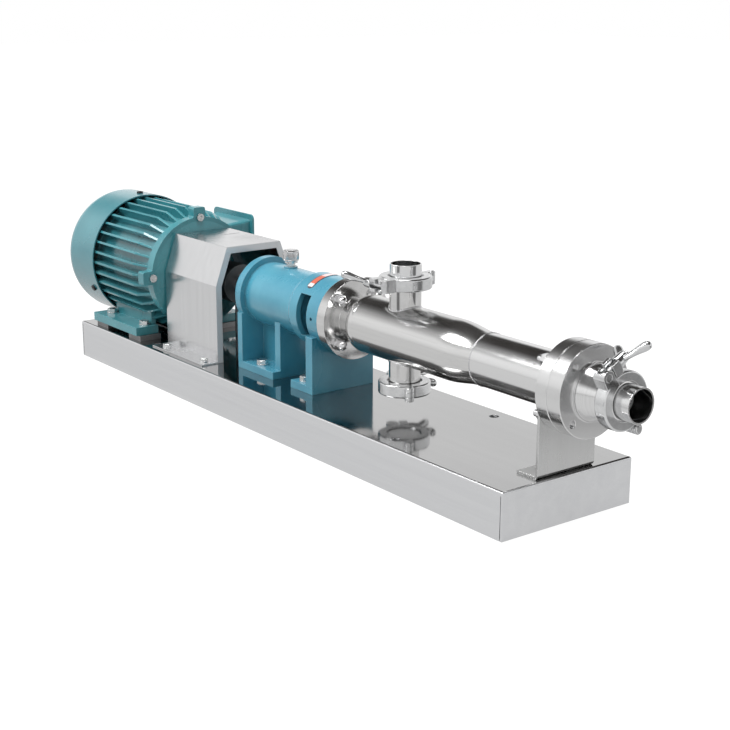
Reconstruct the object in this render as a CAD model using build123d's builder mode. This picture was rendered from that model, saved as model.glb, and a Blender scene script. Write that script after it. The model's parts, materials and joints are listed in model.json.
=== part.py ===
from build123d import *
from math import cos, hypot, pi, radians, sin, tan
import os

os.makedirs("parts", exist_ok=True)

# A progressive cavity pump on a folded base, in millimetres. The origin is the
# centre of the base's underside, +X runs from motor to outlet, and +Z is up.

# Clearances
running_gap = 0.05          # shaft in a bearing, nut on a bolt
hole_gap = 0.5              # bolt in a clearance hole
swing_gap = 0.3             # radial room in a pivot
sheet_gap = 0.2             # between a cover and what it passes over

# Base pan
base_length = 948
base_width = 191
base_height = 54
base_sheet = 2.5
base_lip = 20
corner_seam = 1.0
anchor_spacing_x = 548
anchor_spacing_y = 150
anchor_hole = 12
brace_count = 5
brace_inset = 94            # end of the base to the last brace
brace_plate = 3
brace_foot = 40

# Shaft line
motor_height = 90           # feet to shaft centre
shim_height = 7
axis_z = base_height + shim_height + motor_height

# Motor
motor_face_x = -265         # shoulder of the drive shaft
motor_shaft_radius = 12
motor_shaft_length = 50
motor_seat_radius = 12.5    # bearing seats
motor_core_shaft_radius = 14
fan_shaft_radius = 10
foot_setback = 56           # shoulder to the first foot holes
foot_spacing_x = 100
foot_spacing_y = 140
foot_width = 180
foot_thickness = 12
foot_end = 12               # foot beyond the front holes
foot_tail = 21              # foot beyond the rear holes
foot_wall_y = 57.5
foot_wall = 7
foot_bolt = 8
shim_size = 34
frame_radius = 76
frame_bore = 66
frame_length = 152
fin_tip = 90
fin_front_tip = 79
fin_slope = 25
fin_thickness = 3.2
fin_count = 36
shield_radius = 80
shield_ring = 15            # length of the front shield's rim
shield_dome = 9             # length of the front shield's dome
shield_nose = 45
shield_wall = 6
shield_lug_width = 19
shield_lug_round = 3
shield_lug_top = 94
shield_lug_bottom = 68
shield_screw_circle = 79.5
shield_screw = 6
rear_shield_rim = 12
core_inset = 21             # end of the frame to the core
core_bore = 42
air_gap = 0.5
short_ring_radius = 37
winding_length = 17
winding_outer = 61
winding_inner = 46
motor_bearing = (12.5, 26, 15)      # bore radius, outer radius, width
bearing_balls = 9

# Fan and its cover
cover_radius = 93.9
cover_length = 94
cover_lap = 10              # how far the cover reaches over the frame's fins
cover_sheet = 1.9
cover_round = 25
cover_screw = 5
cover_screw_setback = 9     # frame's end to the cover screws
cover_screw_angles = (90, 207, 330)
grille_hole = 8
grille_pitch = 12.5
grille_rings = 5
fan_radius = 80
fan_disc = 3
fan_blade_length = 22
fan_blade = 2.5
fan_blades = 9
fan_hub = 16
fan_setback = 29            # frame's end to the fan's disc

# Terminal box on the far side
box_inset = 22              # frame's end to the middle of the box
box_rise = 8                # middle of the box above the shaft line
lid_length = 114
lid_height = 100
lid_outer_y = 150
lid_thickness = 4
lid_corner = 8
lid_screw_inset = 7
lid_screw_radius = 4
lid_screw_depth = 1.5
box_inner_y = 104
box_wall = 3
box_corner = 5
box_overhang = 8
box_taper = 6
neck_length = 50
neck_height = 56
gland_thread = 10
gland_length = 24

# Flexible coupling
coupling_x = -204
coupling_radius = 27.5
spider_width = 18
hub_length = 30
jaw_count = 3
jaw_inner = 12
jaw_half_angle = 20
arm_half_angle = 8.5
spider_gap = 0.3
key_width = 8
key_height = 7
key_depth = 4
key_length = 26

# Guard over the coupling
guard_rear_x = -268
guard_front_x = -132
guard_half_width = 61.5
guard_top_half = 43
guard_shoulder_z = 160.5
guard_top_z = 212
guard_sheet = 2
guard_lip = 9
guard_flange = 25
guard_bolt = 6
guard_bolt_inset = 14
guard_bolt_rows = (-246, -146)
guard_slot_x = -220
guard_slot = (4, 32, 2.5)           # from y, to y, width

# Bearing housing
housing_rear_x = -117
barrel_radius = 42.5
barrel_round = 4
lantern_rear_x = 21
lantern_front_x = 86
lantern_radius = 47
lantern_bore = 40
lantern_wall = 12
lantern_floor = 6
window = (36, 58, 27)               # from x, to x, half height
sight_hole_x = 68
leg_half_width = 48
leg_collar = 50
rear_leg = (-102, -90)
mid_rib = (-29, -17)
mid_rib_half_width = 36
web_half = 14
front_wall = (58, 72)
front_foot_x = 24
housing_foot = 10
housing_bolt = 8
housing_bolt_rows = (-60, 40)
housing_bolt_y = 36
pump_bearing = (15, 31, 16)
pump_bearing_rear_x = -111
pump_bearing_front_x = -8
bearing_cover_radius = 37
bearing_cover_bore = 16
socket_circle = 27
socket_radius = 4
socket_angles = (30, 150, 270)
sight_hole_radius = 2.5

# Oil cup
oil_cup_x = -43
oil_boss = 2
oil_stem_radius = 5
oil_stem_height = 5
oil_thread_length = 6
oil_hole_radius = 1.5
oil_collar_radius = 9
oil_collar = 2.5
oil_spigot_radius = 6
oil_spigot = 10
oil_cap_radius = 11
oil_cap_height = 14
oil_cap_wall = 3

# Name strip round the lantern, left bare
strip_x = 44
strip_width = 12
strip_thickness = 0.6
strip_start = 76
strip_end = 134

# Pump shaft
pump_shaft_end_x = -193
pump_shaft_radius = 12
bearing_seat_radius = 15
shaft_collar_radius = 18
shaft_step_x = -130
seal_shaft_x = 30
seal_shaft_radius = 12.5
joint_head_x = 112
joint_head_radius = 20
joint_head_length = 24

# Suction casing
casing_flange = 15
casing_flange_radius = 51
casing_neck_radius = 27.5
casing_neck_x = 116
casing_dome_x = 136
casing_radius = 36
casing_wall = 2
taper_start_x = 290
taper_end_x = 345
casing_nut_circle = 39.5
casing_stud = 8
port_x = 196
inlet_clamp_z = 215
drain_clamp_z = 87

# Seal
seal_wall = 6
seat_radius = 21
seat_bore = 14
seat_thickness = 7
seal_face_gap = 0.1
seal_ring_length = 7
seal_ring_radius = 19
spring_wire = 0.9
spring_radius = 15
spring_pitch = 3.2

# Rod and pin joints
shaft_joint_x = 126
rotor_joint_x = 297
rod_radius = 8
rod_end_radius = 9.3
rod_end_reach = 7
joint_bore = 10.8
joint_pin = 4
pin_hole = 4.9
rotor_head_x = 284
rotor_head_end_x = 312
rotor_head_radius = 16
sleeve_wall = 2
sleeve_length = 17

# Rotor and stator
eccentricity = 4
rotor_radius = 12.5
rotor_pitch = 50
rotor_end_x = 480
rotor_clearance = 0.35
stator_tube_radius = 30.5
stator_tube_wall = 2
stator_start_x = 345
stator_spigot = 8
end_disc_x = 468.5
end_disc = 16.5

# Discharge end
end_radius = 50.5
cover_disc = 18.5
disc_edge = 0.6
reducer_ring = (32, 2.5)            # radius, height
reducer_start = 30
reducer_end = 22
reducer_length = 20
reducer_bore = 27
tie_circle = 42
tie_bolt = 8
tie_end_depth = 4           # bolt's end below the cover's face
tie_tail = 16               # bolt's end behind the disc or the bracket
bracket_plate = 3
bracket_bend = 5
bracket_half_width = 42
bracket_top_z = 136
bracket_foot = 31
bracket_bolt = 8
bracket_bolt_y = 18
outlet_clamp_x = 540
outlet_end_x = 566.5

# Clamped pipe joints
tube_radius = 19.05
tube_bore = 17.4
port_bore = 18              # ports of the casing and the cover
gasket_bore = 18.4
ferrule_radius = 25.25
ferrule_edge = 2.85
ferrule_slope = 20
gasket = 2
ferrule_length = 21.5
clamp_radius = 31.7
clamp_half_width = 7.5
clamp_groove = 25.5
clamp_mouth = 21.5
clamp_room = 0.1
clamp_split = 0.25
clamp_hinge = 38.5
knuckle_radius = 5.5
knuckle_half = 3
hinge_pin = 2.5
hinge_pin_head = 3.7
clamp_round = 2             # rounding of the band's outer edges
clamp_pivot = (38.5, -8.5)
lug_radius = 7.5
pivot_bar = 4.2
fork_slot = 3.6
ear_reach = 20
ear_x = (28, 46)
ear_y = (0.5, 12)
clamp_bolt_radius = 3
clamp_bolt_length = 38
nut_lift = 0.3
nut_hub = 7
nut_height = 14
wing_thickness = 3.4
outlet_bolt_angle = 121     # where the outlet's swing bolt stands round the pipe
drain_bolt_angle = 150
outlet_nut_turn = -17       # how far each wing nut is turned on its bolt
inlet_nut_turn = 115
drain_nut_turn = 90

SEAT = (Align.CENTER, Align.CENTER, Align.MIN)
CORNERS = (45, 135, 225, 315)


def across(x):
    """Plane square to the shaft line: its x is +Y, its y is +Z, its normal is +X."""
    return Plane(origin=(x, 0, axis_z), x_dir=(0, 1, 0), z_dir=(1, 0, 0))


def level(x, y, z, down=False):
    """Level plane at a point, facing up, or down for what hangs under it."""
    return Plane(origin=(x, y, z), x_dir=(1, 0, 0), z_dir=(0, 0, -1 if down else 1))


def spoke(x, radius, angle):
    """Plane facing outward at an angle round the shaft line, its x along +X."""
    y, z = cos(radians(angle)), sin(radians(angle))
    origin = (x, radius * y, axis_z + radius * z)
    return Plane(origin=origin, x_dir=(1, 0, 0), z_dir=(0, y, z))


def on_circle(x, radius, angle):
    """Plane square to the shaft line, at an angle on a circle round it."""
    y, z = radius * cos(radians(angle)), radius * sin(radians(angle))
    return Plane(origin=(x, y, axis_z + z), x_dir=(0, 1, 0), z_dir=(1, 0, 0))


shaft_line = Plane(origin=(0, 0, axis_z), x_dir=(1, 0, 0), z_dir=(0, -1, 0))
port_line = Plane(origin=(port_x, 0, 0), x_dir=(0, 0, 1), z_dir=(0, 1, 0))


def turned(line, points, mode=Mode.ADD):
    """Turn a closed outline of (place, radius) points about a plane's x axis."""
    with BuildSketch(line) as outline:
        with BuildLine():
            Polyline(*points, close=True)
        make_face()
    revolve(outline.sketch, axis=Axis(line.origin, line.x_dir), mode=mode)


def rod(plane, radius, length, mode=Mode.ADD):
    """Round bar standing on a plane."""
    with Locations(plane):
        Cylinder(radius, length, align=SEAT, mode=mode)


def block(x, y, z, mode=Mode.ADD):
    """Box between pairs of limits."""
    with Locations(((x[0] + x[1]) / 2, (y[0] + y[1]) / 2, (z[0] + z[1]) / 2)):
        Box(abs(x[1] - x[0]), abs(y[1] - y[0]), abs(z[1] - z[0]), mode=mode)


def hexagon(plane, across_flats, height, mode=Mode.ADD):
    """Hexagonal bar standing on a plane."""
    with BuildSketch(plane) as outline:
        RegularPolygon(across_flats / 2, 6, major_radius=False)
    extrude(outline.sketch, amount=height, mode=mode)


def save(piece, name):
    """Label a finished piece and write it."""
    piece.label = name
    export_step(piece, f"parts/{name}.step")


def group(pieces):
    """Several separate pieces as one node."""
    return Compound([piece.solid() for piece in pieces])


# Fasteners. A seat is the plane that a washer lies on, facing the head.
def washer(seat, size):
    with BuildPart() as ring:
        rod(seat, size, 0.2 * size)
        rod(seat, size / 2 + running_gap, 0.2 * size, Mode.SUBTRACT)
    return ring.part


def hex_bolt(seat, size, length):
    with BuildPart() as bolt:
        hexagon(seat.offset(0.2 * size), 1.6 * size, 0.65 * size)
        rod(seat.offset(-length), size / 2, length + 0.2 * size)
        chamfer(bolt.edges().group_by(Axis(seat.origin, seat.z_dir))[-1], 0.08 * size)
    return bolt.part


def hex_nut(seat, size):
    with BuildPart() as nut:
        hexagon(seat, 1.6 * size, 0.8 * size)
        rod(seat, size / 2 + running_gap, 0.8 * size, Mode.SUBTRACT)
    return nut.part


def acorn_nut(seat, size):
    with BuildPart() as nut:
        hexagon(seat, 1.6 * size, 0.8 * size)
        with Locations(seat.offset(0.8 * size)):
            Sphere(0.72 * size)
        rod(seat.offset(-size), size, size, Mode.SUBTRACT)
        rod(seat, size / 2 + running_gap, size, Mode.SUBTRACT)
    return nut.part


def bolted(seat, size, grip):
    """Bolt, washer and the nut under a grip of this depth."""
    under = Plane(origin=seat.origin - seat.z_dir * grip, x_dir=seat.x_dir, z_dir=-seat.z_dir)
    return [hex_bolt(seat, size, grip + size), washer(seat, size), hex_nut(under, size)]


# What stands on the base, and where its bolts go through the top sheet
base_top = base_height
front_foot_hole_x = motor_face_x - foot_setback
foot_holes = [
    (x, y)
    for x in (front_foot_hole_x, front_foot_hole_x - foot_spacing_x)
    for y in (-foot_spacing_y / 2, foot_spacing_y / 2)
]
guard_bolt_y = guard_half_width + guard_bolt_inset
guard_holes = [(x, y) for x in guard_bolt_rows for y in (-guard_bolt_y, guard_bolt_y)]
housing_holes = [(x, y) for x in housing_bolt_rows for y in (-housing_bolt_y, housing_bolt_y)]
bracket_x = end_disc_x - bracket_plate
bracket_hole_x = end_disc_x - bracket_foot / 2 - bracket_plate / 2
bracket_holes = [(bracket_hole_x, y) for y in (-bracket_bolt_y, bracket_bolt_y)]
anchor_holes = [
    (x, y)
    for x in (-anchor_spacing_x / 2, anchor_spacing_x / 2)
    for y in (-anchor_spacing_y / 2, anchor_spacing_y / 2)
]
half_length = base_length / 2
half_width = base_width / 2
brace_spacing = (base_length - 2 * brace_inset) / (brace_count - 1)
pan_ceiling = base_height - base_sheet

# Base pan, folded from one sheet, with open seams at its corners and lips below
with BuildPart() as base_frame:
    block((-half_length, half_length), (-half_width, half_width), (0, base_height))
    fillet(base_frame.faces().sort_by(Axis.Z)[-1].edges(), base_sheet)
    inner_x = half_length - base_sheet
    inner_y = half_width - base_sheet
    block((-inner_x, inner_x), (-inner_y, inner_y), (base_sheet, pan_ceiling), Mode.SUBTRACT)
    mouth_x = half_length - base_lip
    mouth_y = half_width - base_lip
    block((-mouth_x, mouth_x), (-mouth_y, mouth_y), (0, base_sheet), Mode.SUBTRACT)
    for end in (-1, 1):
        for side in (-1, 1):
            seam_x = (end * (inner_x - corner_seam), end * inner_x)
            seam_y = (side * mouth_y, side * (half_width + corner_seam))
            block(seam_x, seam_y, (0, pan_ceiling - base_sheet), Mode.SUBTRACT)
    for places, size in (
        (anchor_holes, anchor_hole),
        (foot_holes, foot_bolt + 2 * hole_gap),
        (guard_holes, guard_bolt + 2 * hole_gap),
        (housing_holes, housing_bolt + 2 * hole_gap),
        (bracket_holes, bracket_bolt + 2 * hole_gap),
    ):
        for x, y in places:
            rod(level(x, y, pan_ceiling - 1), size / 2, base_sheet + 2, Mode.SUBTRACT)
save(base_frame.part, "base_frame")

# Braces welded across the inside of the pan, each an upright plate on a foot
braces = []
for row in range(brace_count):
    brace_x = (row - (brace_count - 1) / 2) * brace_spacing
    with BuildPart() as brace:
        plate_x = (brace_x - brace_plate / 2, brace_x + brace_plate / 2)
        foot_x = (brace_x - brace_foot / 2, brace_x + brace_foot / 2)
        block(plate_x, (-inner_y, inner_y), (base_sheet, pan_ceiling))
        block(foot_x, (-mouth_y, mouth_y), (0, brace_plate))
    braces.append(brace.part)
save(group(braces), "base_braces")

# Motor shims and foot bolts
foot_z = base_top + shim_height
foot_top = foot_z + foot_thickness
shims = []
foot_bolts = []
for x, y in foot_holes:
    with BuildPart() as shim:
        with Locations(level(x, y, base_top)):
            Box(shim_size, shim_size, shim_height, align=SEAT)
        rod(level(x, y, base_top), foot_bolt / 2 + hole_gap, shim_height, Mode.SUBTRACT)
    shims.append(shim.part)
    foot_bolts += bolted(level(x, y, foot_top), foot_bolt, foot_top - pan_ceiling)
save(group(shims), "motor_shims")
save(group(foot_bolts), "motor_foot_bolts")

# Motor frame: finned barrel on two cast feet
frame_front_x = motor_face_x - shield_dome - shield_ring
frame_rear_x = frame_front_x - frame_length
cover_front_x = frame_rear_x + cover_lap
cover_back_x = cover_front_x - cover_length
cover_screw_x = frame_rear_x - cover_screw_setback
fan_front_x = frame_rear_x - fan_setback
box_x = frame_rear_x + box_inset
box_z = axis_z + box_rise
core_length = frame_length - 2 * core_inset
fin_middle = (frame_radius + fin_tip) / 2 - 1
with BuildPart() as motor_frame:
    rod(across(frame_rear_x), frame_radius, frame_length)
    with BuildSketch(across(frame_rear_x)):
        with PolarLocations(fin_middle, fin_count):
            Rectangle(2 * (fin_tip - fin_middle), fin_thickness)
    extrude(amount=frame_length)
    slope_x = frame_front_x - fin_slope
    turned(shaft_line, [
        (slope_x, fin_tip), (frame_front_x, fin_front_tip),
        (frame_front_x, 2 * fin_tip), (slope_x, 2 * fin_tip),
    ], Mode.SUBTRACT)
    foot_x = (front_foot_hole_x - foot_spacing_x - foot_tail, front_foot_hole_x + foot_end)
    wall_top = axis_z - frame_radius / 2
    for side in (-1, 1):
        foot_y = (side * (foot_wall_y - foot_wall / 2), side * foot_width / 2)
        wall_y = (side * (foot_wall_y - foot_wall / 2), side * (foot_wall_y + foot_wall / 2))
        wall_x = (cover_front_x + foot_wall, foot_x[1] - foot_wall)
        block(foot_x, foot_y, (foot_z, foot_top))
        block(wall_x, wall_y, (foot_z, wall_top))
    neck_x = (box_x + box_taper, box_x + box_taper + neck_length)
    neck_z = (box_z - neck_height / 2, box_z + neck_height / 2)
    block(neck_x, (frame_radius / 2, box_inner_y), neck_z)
    rod(across(frame_rear_x), frame_bore, frame_length, Mode.SUBTRACT)
    neck_inner_x = (neck_x[0] + box_wall, neck_x[1] - box_wall)
    neck_inner_z = (neck_z[0] + box_wall, neck_z[1] - box_wall)
    block(neck_inner_x, (0, box_inner_y), neck_inner_z, Mode.SUBTRACT)
    for x, y in foot_holes:
        rod(level(x, y, foot_z), foot_bolt / 2 + hole_gap, foot_thickness, Mode.SUBTRACT)
save(motor_frame.part, "motor_frame")

# Front end shield: rim, dome and bearing seat, with four lugs for the screws
bearing_width = motor_bearing[2]
shield_rim_x = motor_face_x - shield_dome
bearing_seat_x = shield_rim_x - bearing_width
with BuildPart() as front_end_shield:
    nose_round = shield_dome / 2
    seat_outer = motor_bearing[1] + shield_wall
    inner_face_x = shield_rim_x - shield_wall
    turned(shaft_line, [
        (frame_front_x, frame_bore), (frame_front_x, shield_radius), (shield_rim_x, shield_radius),
        (shield_rim_x, shield_radius - shield_wall), (motor_face_x - nose_round, shield_nose + nose_round),
        (motor_face_x, shield_nose), (motor_face_x, motor_shaft_radius + hole_gap),
        (shield_rim_x, motor_shaft_radius + hole_gap), (shield_rim_x, motor_bearing[1]),
        (bearing_seat_x, motor_bearing[1]), (bearing_seat_x, seat_outer),
        (inner_face_x, seat_outer + shield_wall), (inner_face_x, frame_bore),
    ])
    lug_middle = (shield_lug_top + shield_lug_bottom) / 2
    with BuildSketch(across(frame_front_x)):
        with PolarLocations(lug_middle, 4):
            Rectangle(shield_lug_top - shield_lug_bottom, shield_lug_width)
    extrude(amount=shield_ring)
    fillet(front_end_shield.edges().filter_by(Axis.X).group_by(SortBy.LENGTH)[-1], shield_lug_round)
    for angle in (0, 90, 180, 270):
        hole = on_circle(frame_front_x - 1, shield_screw_circle, angle)
        rod(hole, shield_screw / 2 + running_gap, shield_ring + 2, Mode.SUBTRACT)
save(front_end_shield.part, "front_end_shield")

# Rear end shield, with lugs that carry the fan cover
rear_rim_x = frame_rear_x - rear_shield_rim
rear_bearing_x = frame_rear_x - bearing_width
with BuildPart() as rear_end_shield:
    floor_x = frame_rear_x - rear_shield_rim + shield_wall
    boss_x = rear_bearing_x - shield_wall
    turned(shaft_line, [
        (frame_rear_x, shield_radius), (frame_rear_x, frame_bore), (floor_x, frame_bore),
        (floor_x, seat_outer), (frame_rear_x, seat_outer),
        (frame_rear_x, motor_bearing[1]), (rear_bearing_x, motor_bearing[1]),
        (rear_bearing_x, fan_shaft_radius + hole_gap), (boss_x, fan_shaft_radius + hole_gap),
        (boss_x, seat_outer), (rear_rim_x, seat_outer + shield_wall),
        (rear_rim_x, shield_radius),
    ])
    lug_top = cover_radius - cover_sheet - sheet_gap
    with BuildSketch(across(rear_rim_x)):
        for angle in cover_screw_angles:
            with PolarLocations((lug_top + shield_lug_bottom) / 2, 1, start_angle=angle):
                Rectangle(lug_top - shield_lug_bottom, shield_lug_width)
        Circle(lug_top, mode=Mode.INTERSECT)
    extrude(amount=rear_shield_rim)
    for angle in cover_screw_angles:
        tapped = spoke(cover_screw_x, shield_radius, angle)
        rod(tapped, cover_screw / 2 + running_gap, cover_radius - shield_radius, Mode.SUBTRACT)
save(rear_end_shield.part, "rear_end_shield")

# End shield screws, round heads on the front shield's lugs
shield_screws = []
for angle in (0, 90, 180, 270):
    with BuildPart() as screw:
        head = on_circle(shield_rim_x, shield_screw_circle, angle)
        rod(head.offset(-shield_ring), shield_screw / 2, shield_ring + 1)
        rod(head, 0.9 * shield_screw, 0.6 * shield_screw)
        hexagon(head.offset(0.3 * shield_screw), 0.8 * shield_screw, shield_screw, Mode.SUBTRACT)
    shield_screws.append(screw.part)
save(group(shield_screws), "end_shield_screws")

# Stator core with its winding ends
core_x = frame_rear_x + core_inset
winding_x = core_x - winding_length
winding_span = core_length + 2 * winding_length
with BuildPart() as stator_core:
    rod(across(winding_x), winding_outer, winding_span)
    rod(across(winding_x), winding_inner, winding_span, Mode.SUBTRACT)
    rod(across(core_x), frame_bore, core_length)
    rod(across(core_x), core_bore, core_length, Mode.SUBTRACT)
save(stator_core.part, "motor_stator_core")

# Rotor core, with the short-circuit rings at its ends
ring_length = winding_length / 2
with BuildPart() as rotor_core:
    rod(across(core_x - ring_length), short_ring_radius, core_length + 2 * ring_length)
    rod(across(core_x), core_bore - air_gap, core_length)
    rod(across(winding_x), motor_core_shaft_radius, winding_span, Mode.SUBTRACT)
save(rotor_core.part, "motor_rotor_core")

# Motor shaft, stepped for rotor, bearings, fan and drive end
fan_rear_x = fan_front_x - fan_disc - fan_blade_length
drive_key_x = motor_face_x + motor_shaft_length - key_length - 2
with BuildPart() as motor_shaft:
    rod(across(fan_rear_x), fan_shaft_radius, rear_bearing_x - fan_rear_x)
    rod(across(rear_bearing_x), motor_seat_radius, bearing_width)
    rod(across(frame_rear_x), motor_core_shaft_radius, bearing_seat_x - frame_rear_x)
    rod(across(bearing_seat_x), motor_seat_radius, bearing_width)
    rod(across(shield_rim_x), motor_shaft_radius, shield_dome + motor_shaft_length)
    chamfer(motor_shaft.edges().group_by(Axis.X)[-1], 1)
    key_x = (drive_key_x, drive_key_x + key_length)
    key_floor = axis_z + motor_shaft_radius - key_depth
    block(key_x, (-key_width / 2, key_width / 2), (key_floor, key_floor + key_height), Mode.SUBTRACT)
save(motor_shaft.part, "motor_shaft")


def ball_bearing(x, size):
    """Rings and balls of one bearing whose rear face is at x."""
    bore, outer, width = size
    step = (outer - bore) / 3
    ball_circle = (bore + outer) / 2
    rings = []
    for inside, outside in ((bore + running_gap, bore + step), (outer - step, outer)):
        with BuildPart() as ring:
            rod(across(x), outside, width)
            rod(across(x), inside, width, Mode.SUBTRACT)
        rings.append(ring.part)
    for count in range(bearing_balls):
        with BuildPart() as ball:
            with Locations(on_circle(x + width / 2, ball_circle, count * 360 / bearing_balls)):
                Sphere(step / 2 - running_gap)
        rings.append(ball.part)
    return rings


motor_bearings = ball_bearing(rear_bearing_x, motor_bearing)
motor_bearings += ball_bearing(bearing_seat_x, motor_bearing)
save(group(motor_bearings), "motor_bearings")

# Fan on the motor's rear shaft
with BuildPart() as cooling_fan:
    rod(across(fan_rear_x), fan_hub, fan_front_x - fan_rear_x)
    rod(across(fan_front_x - fan_disc), fan_radius, fan_disc)
    with BuildSketch(across(fan_rear_x)):
        with PolarLocations((fan_hub + fan_radius) / 2, fan_blades):
            Rectangle(fan_radius - fan_hub + 2, fan_blade)
    extrude(amount=fan_blade_length + 1)
    rod(across(fan_rear_x), fan_shaft_radius, fan_front_x - fan_rear_x, Mode.SUBTRACT)
save(cooling_fan.part, "cooling_fan")

# Fan cover: deep-drawn sheet with a grille in its back
with BuildPart() as cover_hollow:
    rod(across(cover_back_x + cover_sheet), cover_radius - cover_sheet, cover_length)
    fillet(cover_hollow.edges().sort_by(Axis.X)[0], cover_round - cover_sheet)
cover_room = cover_radius - shield_radius
with BuildPart() as fan_cover:
    rod(across(cover_back_x), cover_radius, cover_length)
    fillet(fan_cover.edges().sort_by(Axis.X)[0], cover_round)
    add(cover_hollow.part, mode=Mode.SUBTRACT)
    with BuildSketch(across(cover_back_x)):
        for ring in range(1, grille_rings + 1):
            ring_radius = ring * grille_pitch
            with PolarLocations(ring_radius, round(2 * pi * ring_radius / grille_pitch)):
                Circle(grille_hole / 2)
    extrude(amount=cover_sheet, mode=Mode.SUBTRACT)
    for angle in cover_screw_angles:
        clear = spoke(cover_screw_x, shield_radius, angle)
        rod(clear, cover_screw / 2 + hole_gap / 2, 2 * cover_room, Mode.SUBTRACT)
save(fan_cover.part, "fan_cover")

# Cover screws, with round heads
cover_screws = []
for angle in cover_screw_angles:
    with BuildPart() as screw:
        head = spoke(cover_screw_x, cover_radius, angle)
        rod(head.offset(2 - cover_room), cover_screw / 2, cover_room - 1)
        rod(head.offset(sheet_gap), 0.95 * cover_screw, 0.55 * cover_screw)
        fillet(screw.edges().group_by(Axis(head.origin, head.z_dir))[-1], 0.3 * cover_screw)
        hexagon(head.offset(0.4 * cover_screw), 0.6 * cover_screw, cover_screw, Mode.SUBTRACT)
    cover_screws.append(screw.part)
save(group(cover_screws), "fan_cover_screws")

# Terminal box, a tapered casting closed by an overhanging lid
def box_plane(y):
    """Upright plane through the box at this distance from the shaft line."""
    return Plane(origin=(box_x, y, box_z), x_dir=(1, 0, 0), z_dir=(0, -1, 0))


box_outer_y = lid_outer_y - lid_thickness
box_length = lid_length - 2 * box_overhang
box_height = lid_height - 2 * box_overhang
box_hull = (0, box_inner_y, Mode.ADD)
box_room = (box_wall, box_inner_y + box_wall, Mode.SUBTRACT)
gland_depth = 2 * box_wall + box_taper
gland_x = box_x - box_length / 2 + gland_depth
gland_y = (box_inner_y + box_outer_y) / 2
entry = Plane(origin=(gland_x, gland_y, box_z), x_dir=(0, 1, 0), z_dir=(-1, 0, 0))
with BuildPart() as terminal_box:
    for wall, inner_y, mode in (box_hull, box_room):
        for y, taper in ((inner_y, 2 * box_taper), (box_outer_y, 0)):
            less = 2 * wall + taper
            with BuildSketch(box_plane(y)):
                RectangleRounded(box_length - less, box_height - less, box_corner - wall / 2)
        loft(mode=mode)
    block(neck_inner_x, (box_inner_y - 1, box_inner_y + box_wall + 1), neck_inner_z, Mode.SUBTRACT)
    rod(entry, gland_thread + running_gap, gland_depth + box_wall, Mode.SUBTRACT)
save(terminal_box.part, "terminal_box")

# Lid with recesses for its four corner screws
with BuildPart() as terminal_box_lid:
    with BuildSketch(box_plane(lid_outer_y)):
        RectangleRounded(lid_length, lid_height, lid_corner)
    extrude(amount=lid_thickness)
    fillet(terminal_box_lid.faces().sort_by(Axis.Y)[-1].edges(), lid_screw_depth)
    with BuildSketch(box_plane(lid_outer_y)):
        with GridLocations(lid_length - 2 * lid_screw_inset, lid_height - 2 * lid_screw_inset, 2, 2):
            Circle(lid_screw_radius)
    extrude(amount=lid_screw_depth, mode=Mode.SUBTRACT)
save(terminal_box_lid.part, "terminal_box_lid")

# Cable gland: threaded body with its hexagon and a sealing nut
with BuildPart() as cable_gland:
    rod(entry, gland_thread, gland_length)
    hexagon(entry.offset(gland_depth), 2.6 * gland_thread, 0.7 * gland_thread)
    rod(entry.offset(gland_depth), 1.15 * gland_thread, 1.6 * gland_thread)
    rod(entry, 0.7 * gland_thread, gland_length, Mode.SUBTRACT)
save(cable_gland.part, "cable_gland")

# Jaw coupling: two hubs with three jaws each, and the elastic spider between
spider_x = coupling_x - spider_width / 2


def sector(middle, half_angle):
    """Corners of a wedge from the shaft line that reaches past the coupling."""
    edges = [radians(middle + side * half_angle) for side in (-1, 1)]
    reach = 2 * coupling_radius
    return [(0, 0)] + [(reach * cos(edge), reach * sin(edge)) for edge in edges]


def jaw_hub(face_x, away, shaft_radius, turn):
    """Hub whose body runs away from face_x, with jaws that reach over the spider."""
    body_x = min(face_x, face_x + away * hub_length)
    jaw_x = face_x if away < 0 else face_x - spider_width + swing_gap
    with BuildPart() as hub:
        rod(across(body_x), coupling_radius, hub_length)
        with BuildSketch(across(jaw_x)):
            for jaw in range(jaw_count):
                with BuildLine():
                    Polyline(*sector(turn + jaw * 360 / jaw_count, jaw_half_angle), close=True)
                make_face()
            Circle(coupling_radius, mode=Mode.INTERSECT)
            Circle(jaw_inner, mode=Mode.SUBTRACT)
        extrude(amount=spider_width - swing_gap)
        rod(across(body_x), shaft_radius, hub_length, Mode.SUBTRACT)
        slot_z = (axis_z, axis_z + shaft_radius + key_height - key_depth)
        block((body_x, body_x + hub_length), (-key_width / 2, key_width / 2), slot_z, Mode.SUBTRACT)
    return hub.part


save(jaw_hub(spider_x, -1, motor_shaft_radius, 0), "motor_coupling_hub")
save(jaw_hub(spider_x + spider_width, 1, pump_shaft_radius, 180 / jaw_count), "pump_coupling_hub")

with BuildPart() as coupling_spider:
    with BuildSketch(across(spider_x + spider_gap)):
        for arm in range(2 * jaw_count):
            with BuildLine():
                Polyline(*sector((arm + 0.5) * 180 / jaw_count, arm_half_angle), close=True)
            make_face()
        Circle(coupling_radius - 1, mode=Mode.INTERSECT)
        Circle(jaw_inner - spider_gap)
        Circle(jaw_inner / 2, mode=Mode.SUBTRACT)
    extrude(amount=spider_width - 2 * spider_gap)
save(coupling_spider.part, "coupling_spider")

# Keys in both shafts
keys = []
pump_key_x = pump_shaft_end_x + 1
for x in (drive_key_x, pump_key_x):
    with BuildPart() as key:
        block((x, x + key_length), (-key_width / 2, key_width / 2), (key_floor, key_floor + key_height))
    keys.append(key.part)
save(group(keys), "shaft_keys")

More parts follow.
